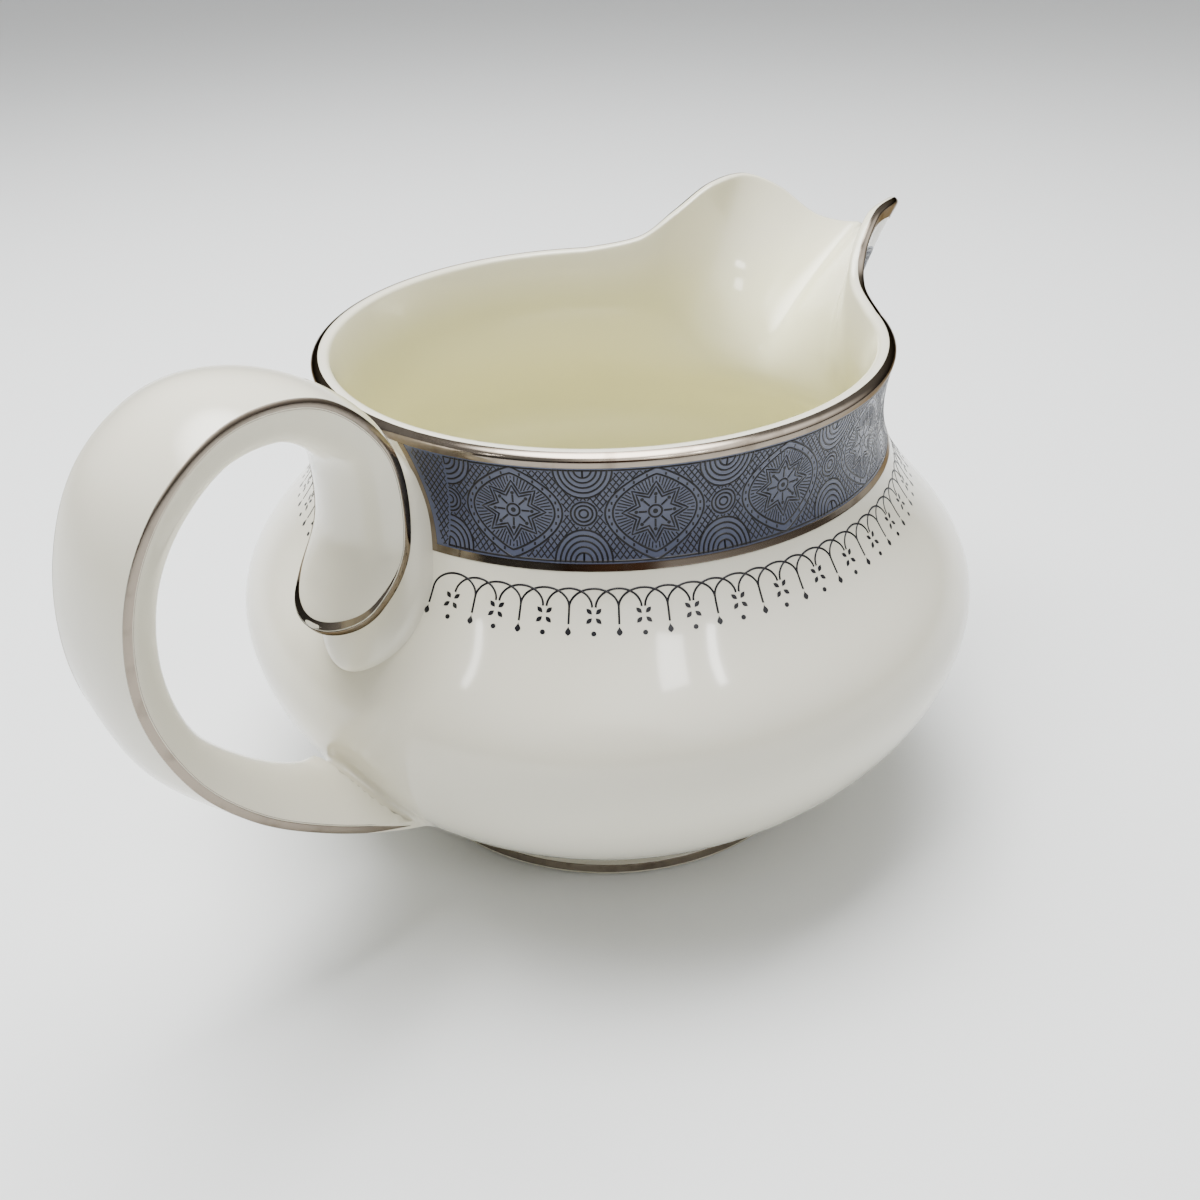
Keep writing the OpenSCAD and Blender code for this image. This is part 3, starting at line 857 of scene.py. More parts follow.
@dataclass
class Motif:
    """Flat drawing in millimetres: polylines drawn with one pen width, and filled shapes."""

    stroke: float
    lines: list = field(default_factory=list)
    fills: list = field(default_factory=list)
    # Longest straight stretch, so that a line can follow a curved surface
    longest: float = 0.9
    hatch_step: float = 0.12

    def line(self, points: Sequence, closed: bool = False) -> "Motif":
        """Adds a polyline, with long stretches divided.

        Args:
            points: its corners.
            closed: whether it runs back to its start.

        Returns:
            This motif.
        """
        points = [tuple(float(c) for c in p) for p in points]
        if closed:
            points.append(points[0])
        out = points[:1]
        for a, b in zip(points, points[1:]):
            n = max(1, math.ceil(math.dist(a, b) / self.longest))
            out += [(mix(a[0], b[0], k / n), mix(a[1], b[1], k / n)) for k in range(1, n + 1)]
        self.lines.append(out)
        return self

    def hatch(self, inside: Callable[[float, float], bool], box: tuple, pitch: float,
              slope: float) -> "Motif":
        """Adds a lattice of two sets of slanting lines wherever a test allows it.

        Args:
            inside: whether a place belongs to the hatched ground.
            box: left, lower, right and upper limits.
            pitch: distance between lines along the row.
            slope: rise of the lines for each millimetre along the row.

        Returns:
            This motif.
        """
        left, low, right, high = box
        reach = (high - low) / slope
        steps = math.ceil((high - low) / self.hatch_step) + 1
        for way in (1, -1):
            for k in range(math.floor((left - reach) / pitch), math.ceil((right + reach) / pitch) + 1):
                run = []
                for y in np.linspace(low, high, steps):
                    x = k * pitch + way * (y - low) / slope
                    if left <= x <= right and inside(x, y):
                        run.append((x, y))
                        continue
                    self.keep_run(run)
                    run = []
                self.keep_run(run)
        return self

    def keep_run(self, run: list) -> None:
        """Keeps a straight run of places as a line if it is long enough to see."""
        if len(run) > 2:
            self.line([run[0], run[-1]])

    def fill(self, points: Sequence) -> "Motif":
        """Adds a filled shape with its corners counter-clockwise."""
        self.fills.append([tuple(p) for p in points])
        return self

    def circle(self, x: float, y: float, r: float, steps: int, filled: bool = False) -> "Motif":
        """Adds a circle.

        Args:
            x: its middle along the row.
            y: its middle up the row.
            r: its radius.
            steps: number of its corners.
            filled: whether it is filled.

        Returns:
            This motif.
        """
        turn = np.radians(np.arange(steps) * TURN / steps)
        points = np.stack([x + r * np.cos(turn), y + r * np.sin(turn)], -1)
        return self.fill(points) if filled else self.line(points, True)

    def arc(self, x: float, y: float, rx: float, ry: float, a: float, b: float, steps: int) -> "Motif":
        """Adds part of an ellipse.

        Args:
            x: its middle along the row.
            y: its middle up the row.
            rx: its half width.
            ry: its half height.
            a: angle of its start, in degrees.
            b: angle of its end.
            steps: number of points.

        Returns:
            This motif.
        """
        turn = np.radians(np.linspace(a, b, steps))
        return self.line(np.stack([x + rx * np.cos(turn), y + ry * np.sin(turn)], -1))

    def petal(self, x: float, y: float, length: float, width: float, angle: float, steps: int,
              tip: float = 1.0) -> "Motif":
        """Adds a filled petal.

        Args:
            x: its start along the row.
            y: its start up the row.
            length: its length.
            width: its greatest width.
            angle: the way it runs, in degrees.
            steps: points along each side.
            tip: over 1 moves its widest place to the far end, which gets blunter.

        Returns:
            This motif.
        """
        s = np.linspace(0, 1, steps)
        half = width / 2 * np.sin(math.pi * s ** tip)
        turn = math.radians(angle)
        start = np.array([x, y])
        along = np.array([math.cos(turn), math.sin(turn)])
        across = np.array([-math.sin(turn), math.cos(turn)])
        right = [start + along * length * t - across * h for t, h in zip(s, half)]
        left = [start + along * length * t + across * h for t, h in zip(s, half)]
        return self.fill(right + left[-2:0:-1])

    def objects(self, name: str) -> tuple:
        """Makes temporary objects of the drawing.

        Args:
            name: name of the piece that they serve.

        Returns:
            The objects of the strokes and of the fills.
        """
        made = []
        for part, shapes in (("strokes", self.lines), ("fills", self.fills)):
            points, edges, faces = [], [], []
            for shape in shapes:
                first = len(points)
                closed = part == "strokes" and shape[0] == shape[-1]
                own = shape[:-1] if closed else shape
                points += [(x, y, 0.0) for x, y in own]
                if part == "strokes":
                    edges += [(first + i, first + i + 1) for i in range(len(own) - 1)]
                    edges += [(first + len(own) - 1, first)] if closed else []
                else:
                    faces.append(tuple(range(first, first + len(own))))
            mesh = bpy.data.meshes.new(name + " " + part)
            mesh.from_pydata(points, edges, faces)
            made.append(add_object(mesh.name, mesh))
        return tuple(made)


def guide_sheet(name: str, shape: JugShape, angles: np.ndarray, heights: np.ndarray, along: np.ndarray,
                up: np.ndarray) -> Piece:
    """Surface patch that carries its flat places and outward normals.

    Args:
        name: name of the helper.
        shape: form of the jug.
        angles: root angles of the columns.
        heights: plain heights, as rows by columns.
        along: flat place along the row for each column, in millimetres.
        up: flat place up for each row, in millimetres.

    Returns:
        Helper object, to be removed after use.
    """
    rows, cols = heights.shape
    angle_grid = np.broadcast_to(angles, heights.shape)
    points = shape.skin(angle_grid, heights)
    normals = shape.skin_out(angle_grid, heights)
    mesh = bpy.data.meshes.new(name)
    mesh.from_pydata((points.reshape(-1, 3) * MM).tolist(), [], grid_faces(rows, cols, False))
    flat = np.zeros((rows, cols, 3))
    flat[..., 0] = along
    flat[..., 1] = up[:, None]
    for label, values in (("flat", flat / FLAT_SPAN), ("out", normals)):
        layer = mesh.attributes.new(label, "FLOAT_VECTOR", "POINT")
        layer.data.foreach_set("vector", values.reshape(-1))
    return add_object(name, mesh)


# Sub-assemblies


@dataclass
class ChinaBody:
    """Bowl with its neck and lip, and the turned foot ring."""

    shape: JugShape
    foot_r: float = 33.0
    foot_w: float = 3.2
    foot_h: float = 3.0
    groove: float = 0.9
    line_top: float = 2.1
    groove_share: float = 0.7
    foot_radii: tuple = (0.12, 0.12, 0.15, 0.15, 0.05, 0, 0, 0.1)
    under_step: float = 2.0
    # Painted bounce light in the well: the depth where it is full, and its share at the rim
    well_depth: float = 7.0
    rim_bounce_share: float = 0.35
    # What counts as the well: points that look inward, or up below a height, by these shares at least
    inward_share: float = 0.2
    upward_share: float = 0.5
    well_floor_z: float = 30.0
    lip_steps: int = 96
    round_steps: int = 200
    outer_rows: int = 122
    # Inside rows that the floor takes the place of
    floor_skip: int = 9
    crown_rows: int = 11
    floor_rows: int = 12

    def build(self, glaze: Finish) -> None:
        """Builds and dresses the bowl and the foot ring."""
        self.bowl(glaze)
        self.foot(glaze)

    def bowl(self, glaze: Finish) -> None:
        """Builds one wall from the underside, round the rim and down the inside.

        Args:
            glaze: its finish.
        """
        jug = self.shape
        a = jug.columns(self.lip_steps, self.round_steps)[None, :]
        turn = np.radians(a)
        root_r, root_z = jug.root
        outline = jug.outline()
        places = np.linspace(0, 1, len(outline))
        z_out = np.interp(np.linspace(0, 1, self.outer_rows), places, outline[:, 1])[:, None]
        outer = jug.skin(a, z_out)
        crown = jug.crown(a, np.linspace(0, HALF_TURN, self.crown_rows)[1:-1, None])
        z_in = z_out[::-2][:-self.floor_skip]
        inner = jug.raised(a, z_in, -jug.wall_at(a, z_in))
        floor_z = root_z + jug.wall
        corner = level_ring(turn, root_r - jug.wall / 2, floor_z)[0]
        mid = level_ring(turn, root_r / 2, floor_z)[0]
        share = np.linspace(0, 1, self.floor_rows)[1:, None, None]
        floor = mix(mix(inner[-1], corner, share), mix(corner, mid, share), share)
        under = [level_ring(turn, r, root_z) for r in (root_r / 2, root_r - self.under_step)]
        ends = ((0, 0, root_z), (0, 0, floor_z))
        piece = lofted("bowl_china", np.concatenate(under + [outer, crown, inner, floor]), ends)
        # Paints the well's bounce light into the glaze colour, by depth
        self.paint_well_bounce(piece)
        finish_piece(piece, glaze, ("bowl",))

    def paint_well_bounce(self, piece: Piece) -> None:
        """Stores how deep inside the well each point lies, from 0 outside to 1, as the attribute 'well',
        which sets how much painted bounce light the glaze puts there.

        Args:
            piece: the bowl.
        """
        mesh = piece.data
        points, normals = (np.empty(len(mesh.vertices) * 3) for _ in range(2))
        mesh.vertices.foreach_get("co", points)
        mesh.vertices.foreach_get("normal", normals)
        points, normals = points.reshape(-1, 3) / MM, normals.reshape(-1, 3)
        inward = -(points[:, 0] * normals[:, 0] + points[:, 1] * normals[:, 1])
        inward = inward / np.maximum(np.hypot(points[:, 0], points[:, 1]), 1)
        on_floor = (normals[:, 2] > self.upward_share) & (points[:, 2] < self.well_floor_z)
        depth = np.clip((self.shape.rim[1] + 1 - points[:, 2]) / self.well_depth, 0, 1)
        # Painted bounce light: strongest deep in the well, weaker near the rim, none outside
        tint = np.where((inward > self.inward_share) | on_floor, mix(self.rim_bounce_share, 1.0, depth), 0.0)
        layer = mesh.attributes.new("well", "FLOAT", "POINT")
        layer.data.foreach_set("value", tint)

    def foot(self, glaze: Finish) -> None:
        """Builds the turned foot ring, with soft edges and a groove under the bowl.

        Args:
            glaze: its finish.
        """
        r, w, h, g, edge = self.foot_r, self.foot_w, self.foot_h, self.groove, self.groove / 2
        neck_z = mix(self.line_top, h, self.groove_share)
        corners = [(r - w + edge, 0), (r - edge, 0), (r, edge), (r, self.line_top),
                   (r - g, neck_z), (r - g, h), (r - w - edge, h), (r - w, edge)]
        ring = lathe("foot_ring_china", rounded_outline(corners, self.foot_radii))
        finish_piece(ring, glaze, ("foot_ring",))


@dataclass
class ScrollHandle:
    """Scroll handle with its seat lobe and the slip fillet at its lower end.

    Places u along the spine are counted in its control points, and places v across run from -1 to 1.
    """

    shape: JugShape
    reach: float = 38.6
    foot_z: float = 16.5
    top_z: float = 77.6
    width: float = 16.8
    inner: float = 6.9
    outer: float = 3.7
    edge_w: float = 1.0
    tongue_share: float = 0.12
    tip_share: float = 0.0004
    # Spine from the bowl to the tongue's tip, as shares of the reach and of the height
    spine_shares: tuple = (
        (0.1, -0.011), (0.321, 0.059), (0.549, 0.152), (0.765, 0.272), (0.923, 0.419),
        (1, 0.598), (0.964, 0.779), (0.827, 0.924), (0.599, 0.999), (0.334, 0.973),
        (0.154, 0.842), (0.137, 0.659), (0.246, 0.552), (0.364, 0.499),
    )
    width_shares: tuple = (1, 0.96, 0.89, 0.83, 0.77, 0.72, 0.75, 0.83, 0.84, 0.85, 0.93, 0.92, 0.88, 0.91)
    outer_shares: tuple = (0.71, 0.48, 0.27, 0.18, 0.36, 0.15, 0.21, 0.35, 0.44, 0.31, 0.66, 1, 0.89, 0.45)
    inner_shares: tuple = (0.94, 0.81, 0.6, 0.6, 0.58, 0.73, 0.86, 1, 0.94, 0.74, 0.48, 0.36, 0.22, 0.1)
    seat_half_w: float = 7.6
    seat_low_z: float = 39.7
    seat_high_z: float = 65.0
    seat_t: float = 4.8
    seat_round: float = 0.24
    seat_sink: float = 0.3
    seat_width_shares: tuple = (0.8, 0.93, 0.99, 1, 0.95, 0.83, 0.72, 0.62, 0.5, 0.35, 0)
    seat_thick_shares: tuple = (0.45, 0.62, 0.82, 0.96, 1, 0.95, 0.85, 0.75, 0.6, 0.35, 0)
    luting_w: float = 1.6
    luting_hollow: float = 0.3
    luting_sink: float = 0.4
    # The ridge across the inner face beside the joint: its place past the joint and its width, in u
    ridge_u: float = 0.26
    ridge_w_u: float = 0.11
    ridge_dip: float = 2.2
    ridge_rise: float = 0.5
    # The sections are closer at the root: how far along, in u, their step, and how far they may sink in
    root_reach: float = 1.6
    root_step: float = 0.03
    root_sink: float = 0.15
    # Steps in u for directions and for finding where a line leaves the bowl
    out_step: float = 0.05
    joint_reach: float = 2.0
    joint_step: float = 0.01
    along_steps: int = 150
    tip_steps: int = 18
    face_steps: int = 24
    seat_rows: int = 72
    seat_cols: int = 32
    luting_rows: int = 9
    crease: float = 35.0

    def __post_init__(self) -> None:
        """Works out the spine and the places of the sections, which are closest at the root and the tip."""
        r = self.shape.rim[0]
        heights = [mix(self.foot_z, self.top_z, t) for _, t in self.spine_shares]
        self.spine_points = [(-r - self.reach * s, 0.0, z) for (s, _), z in zip(self.spine_shares, heights)]
        self.end = len(self.spine_points) - 1.0
        self.tongue_u = self.end * (1 - self.tongue_share)
        closer = np.sin(np.linspace(0, math.pi / 2, self.tip_steps + 1)[1:])
        tip = self.tongue_u + (self.end - self.tongue_u) * closer
        root = np.arange(0, self.root_reach, self.root_step)
        middle = np.linspace(self.root_reach, self.tongue_u, self.along_steps)
        self.places = np.concatenate([root, middle, tip])

    def spine(self, u: Values) -> np.ndarray:
        """Points of the spine."""
        return through(self.spine_points, u)

    def spine_out(self, u: np.ndarray) -> np.ndarray:
        """Directions away from the finger loop.

        Args:
            u: places along the spine.

        Returns:
            Vectors of length one.
        """
        ahead = self.spine(np.minimum(u + self.out_step, self.end))
        d = unit(ahead - self.spine(np.maximum(u - self.out_step, 0)))
        return np.stack([-d[..., 2], 0 * d[..., 0], d[..., 0]], -1)

    def tongue(self, u: Values) -> np.ndarray:
        """How the tongue rounds off to its tip, as a share of the width."""
        s = np.maximum(0, (u - self.tongue_u) / (self.end - self.tongue_u))
        return np.sqrt(np.maximum(self.tip_share, 1 - s * s))

    def half_w(self, u: Values) -> np.ndarray:
        """Half of the width."""
        return self.width * through(self.width_shares, u) * self.tongue(u) / 2

    def face(self, u: np.ndarray, v: np.ndarray, side: float) -> np.ndarray:
        """Points of one bowed face.

        Args:
            u: places along the spine.
            v: places across.
            side: 1 for the outer face, -1 for the inner one.

        Returns:
            The points.
        """
        depth, shares = (self.outer, self.outer_shares) if side > 0 else (self.inner, self.inner_shares)
        bow = depth * through(shares, u) * self.tongue(u) * (1 - v * v) + self.edge_w / 2
        across = np.stack([0 * u * v, self.half_w(u) * v, 0 * u * v], -1)
        return self.spine(u) + across + self.spine_out(u) * (side * bow)[..., None]

    def to_bowl(self, p: np.ndarray) -> np.ndarray:
        """Brings a point level onto the bowl's surface."""
        scale = self.shape.radius(p[2]) / math.hypot(p[0], p[1])
        return np.array([p[0] * scale, p[1] * scale, p[2]])

    def on_bowl(self, p: np.ndarray) -> np.ndarray:
        """Brings points inside the bowl out to its surface, a hair under the glaze.

        Args:
            p: the points.

        Returns:
            The points, moved where they were inside.
        """
        r = self.shape.radius(p[..., 2]) - self.root_sink
        d = np.hypot(p[..., 0], p[..., 1])
        scale = np.where(d < r, r / np.maximum(d, 1e-6), 1.0)
        return np.stack([p[..., 0] * scale, p[..., 1] * scale, p[..., 2]], -1)

    def joint_u(self, v: float, side: float) -> float:
        """Place along the spine where a line along a face leaves the bowl.

        Args:
            v: place of the line across.
            side: 1 for the outer face, -1 for the inner one.

        Returns:
            The place.
        """
        u = np.arange(0, self.joint_reach, self.joint_step)
        raw = self.face(u, v + 0 * u, side)
        return float(u[np.argmax(np.hypot(raw[:, 0], raw[:, 1]) > self.shape.radius(raw[:, 2]))])

    def relief(self, past: Values, v: Values) -> np.ndarray:
        """How far the inner face lies back past the joint: a dip at the joint, then a raised ridge.

        Args:
            past: places along the spine, counted from the joint.
            v: places across.

        Returns:
            The distances, which are under 0 on the ridge.
        """
        dip = self.ridge_dip * np.clip(1 - past / self.ridge_u, 0, 1)
        rise = self.ridge_rise * np.exp(-(((past - self.ridge_u) / self.ridge_w_u) ** 2))
        return (dip - rise) * (1 - v**4)

    def sections(self) -> np.ndarray:
        """Works out all cross-sections, each the outer face and then the inner one with its ridge.

        Returns:
            Rings of points.
        """
        v = np.linspace(1, -1, self.face_steps + 1)
        u = self.places[:, None]
        one = np.ones_like(u)
        outer = self.face(u * np.ones_like(v), one * v, 1)
        back = v[::-1]
        past = np.maximum(u - np.array([self.joint_u(vi, -1) for vi in back]), 0)
        lie_back = self.spine_out(u) * self.relief(past, back)[..., None]
        inner = self.face(u * np.ones_like(v), one * back, -1) + lie_back
        return self.on_bowl(np.concatenate([outer, inner], 1))

    def build(self, glaze: Finish) -> None:
        """Builds and dresses the handle, the seat and the fillet.

        Args:
            glaze: their finish.
        """
        ends = (self.on_bowl(self.spine(np.array([0.0])))[0], self.spine(np.array([self.end]))[0])
        handle = lofted("handle_china", self.sections(), ends, self.crease)
        finish_piece(handle, glaze, ("handle",))
        self.seat(glaze)
        self.luting(glaze)

    def seat(self, glaze: Finish) -> None:
        """Builds the smooth lobe that seats the scroll on the neck and shoulder.

        Args:
            glaze: its finish.
        """
        cols = self.seat_cols
        rings = []
        last = len(self.seat_width_shares) - 1
        over = np.linspace(1, -1, cols, endpoint=False)
        v = np.concatenate([over, np.linspace(-1, 1, cols, endpoint=False)])
        for t in (1 - np.cos(np.linspace(0, math.pi, self.seat_rows)[1:-1])) / 2:
            z = mix(self.seat_low_z, self.seat_high_z, t)
            end = math.sqrt(1 - max(0.0, 1 - t / self.seat_round) ** 2)
            half = self.seat_half_w * end * float(through(self.seat_width_shares, t * last))
            top = self.seat_t * end * float(through(self.seat_thick_shares, t * last))
            bow = top * np.sqrt(np.maximum(0, 1 - v * v))
            height = np.where(np.arange(2 * cols) < cols, bow, -self.seat_sink)
            a = HALF_TURN - np.degrees(v * half / self.shape.radius(z))
            rings.append(self.shape.raised(a, z + 0 * a, height))
        ends = [self.shape.skin(HALF_TURN, z) for z in (self.seat_low_z, self.seat_high_z)]
        piece = lofted("handle_seat_china", np.array(rings), ends)
        finish_piece(piece, glaze, ("handle_seat",))

    def luting(self, glaze: Finish) -> None:
        """Builds the hollow fillet of slip round the handle's lower end, narrow behind the ridge.

        Args:
            glaze: its finish.
        """
        n = self.face_steps + 1
        across = np.concatenate([np.linspace(1, -1, n), np.linspace(-1, 1, n)])
        side = np.concatenate([np.ones(n), -np.ones(n)])
        step = float(np.linalg.norm(self.spine(np.array(1.0)) - self.spine(np.array(0.0))))
        share = np.linspace(0, 1, self.luting_rows)
        rings = []
        for vi, si in zip(across, side):
            start = self.joint_u(vi, si)
            joint = self.face(np.array([start]), np.array([vi]), si)[0]
            n_out = unit(joint * [1, 1, 0])
            away = joint - self.spine(np.array(start))
            away = unit(away - n_out * (away @ n_out))
            dip = self.ridge_dip * (1 - vi**4) if si < 0 else 0.0
            low = self.to_bowl(joint - away * dip)
            end = start + self.luting_w / step
            up = self.face(np.array([end]), np.array([vi]), si)[0]
            if si < 0:
                up = up + self.spine_out(np.array([end]))[0] * self.relief(end - start, vi)
            far = self.to_bowl(joint + away * self.luting_w)
            curve = bezier([self.on_bowl(up), mix(low, joint, self.luting_hollow), far], share)
            rings.append(np.concatenate([curve, [low - n_out * self.luting_sink]]))
        piece = lofted("handle_fillet_china", np.array(rings))
        finish_piece(piece, glaze, ("handle_luting",))


@dataclass
class Gilding:
    """Fired platinum lines on the rim, the foot and the handle's edges."""

    shape: JugShape
    handle: ScrollHandle
    film: float = 0.07
    rim_drop: float = 0.45
    lip_drop: float = 0.9
    # Angles over the rim's crown, in degrees: how far the line reaches, and the two ends of its back
    crown_end: float = 88.0
    crown_back: tuple = (20.0, 84.0)
    rim_columns: tuple = (120, 240)
    front_rows: int = 10
    back_rows: int = 6
    foot_r: float = 33.0
    foot_z: float = 0.8
    foot_w: float = 1.3
    foot_radius: float = 0.04
    # The edge lines start thin at this place along the spine and widen over the taper
    edge_start_u: float = 0.75
    edge_taper_u: float = 0.7
    edge_least: float = 0.04
    # Their section: how far its back lies in the china, and where its corners are, as shares
    bite: float = 0.1
    back_share: float = 0.8
    corner_out: float = 0.6
    corner_down: float = 0.9
    lap: float = 0.9
    lap_least: float = 0.03
    lap_ease: float = 0.4
    length_steps: int = 1500

    def build(self, lustre: Finish) -> None:
        """Builds and dresses the lines.

        Args:
            lustre: their finish.
        """
        finish_piece(self.rim(), lustre, ("rim_line",))
        finish_piece(self.foot(), lustre, ("foot_line",))
        finish_piece(self.edges(), lustre, ("handle_edge_lines",))

    def rim(self) -> Piece:
        """Builds the line from the top of the crown over its outer half and a little way down the wall.

        Returns:
            The line.
        """
        jug = self.shape
        a = jug.columns(*self.rim_columns)[:, None]
        top = jug.rim[1]
        low = top - self.rim_drop - self.lip_drop * jug.under_lip(a)
        back = np.linspace(*self.crown_back, self.back_rows)[None, :]
        front = np.linspace(self.crown_end, 0, self.front_rows)[None, :]
        under = [jug.raised(a, low, -FILM_SINK), jug.crown(a, back, -FILM_SINK)]
        over = [jug.crown(a, front, self.film), jug.raised(a, low, self.film)]
        return lofted("rim_platinum", np.concatenate(under + over, 1))

    def foot(self) -> Piece:
        """Builds the band round the outside of the foot ring.

        Returns:
            The band.
        """
        r, z, w, t = self.foot_r, self.foot_z, self.foot_w, self.film
        corners = [(r - self.bite, z), (r + t, z), (r + t, z + w), (r - self.bite, z + w)]
        return lathe("foot_platinum", rounded_outline(corners, [0, self.foot_radius, self.foot_radius, 0]))

    def edges(self) -> Piece:
        """Builds one line along both edges of the handle and round its tongue, where it laps inwards.

        Returns:
            The line.
        """
        h = self.handle
        free = h.places[h.places > self.edge_start_u]
        u = np.concatenate([free, free[::-1]])
        side = np.concatenate([np.ones(len(free)), -np.ones(len(free))])
        mid = h.spine(u) + np.stack([0 * u, h.half_w(u) * side, 0 * u], -1)
        n = h.spine_out(u)
        out = unit(np.cross(np.gradient(mid, axis=0), n))
        grown = np.clip((u - self.edge_start_u) / self.edge_taper_u, self.edge_least, 1)
        half = h.edge_w / 2 * grown[:, None]
        t, bite, over = self.film, self.bite, self.corner_out
        lap = self.lapped(u, side, half[:, 0])
        back = [lap + n * bite, mid - n * half + n * bite - out * bite,
                mid + n * half * self.back_share - out * bite]
        front = [mid + n * (half + t / 2) + out * t * over, mid + n * half + out * t,
                 mid - n * half + out * t, mid - n * (half + t * self.corner_down) + out * t * over,
                 lap - n * t]
        return strip_solid("handle_edge_platinum", np.stack(back + front, 1))

    def lapped(self, u: np.ndarray, side: np.ndarray, half: np.ndarray) -> np.ndarray:
        """Points of the inner face up to which the line laps over its edge.

        Args:
            u: places along the spine.
            side: 1 or -1 for the two edges.
            half: half of the line's width on the edge.

        Returns:
            Points on the inner face.
        """
        h = self.handle
        table = np.linspace(0, h.end, self.length_steps)
        length = lengths(h.spine(table))
        flat = np.stack([np.interp(u, table, length), h.half_w(u)], -1)
        ahead = unit(np.gradient(flat, axis=0) * side[:, None])
        share = np.clip((u - h.tongue_u + self.lap_ease) / (h.end - h.tongue_u + self.lap_ease), 0, 1)
        width = mix(self.lap_least, self.lap, share * share * (3 - 2 * share))
        inset = flat + np.stack([ahead[:, 1], -ahead[:, 0]], -1) * width[:, None]
        place = np.interp(inset[:, 0], length, table)
        v = np.clip(inset[:, 1] / np.maximum(h.half_w(place), 1e-6), 0, 1)
        return h.face(place, v * side, -1) + h.spine_out(place) * (h.edge_w / 2 - half)[:, None]


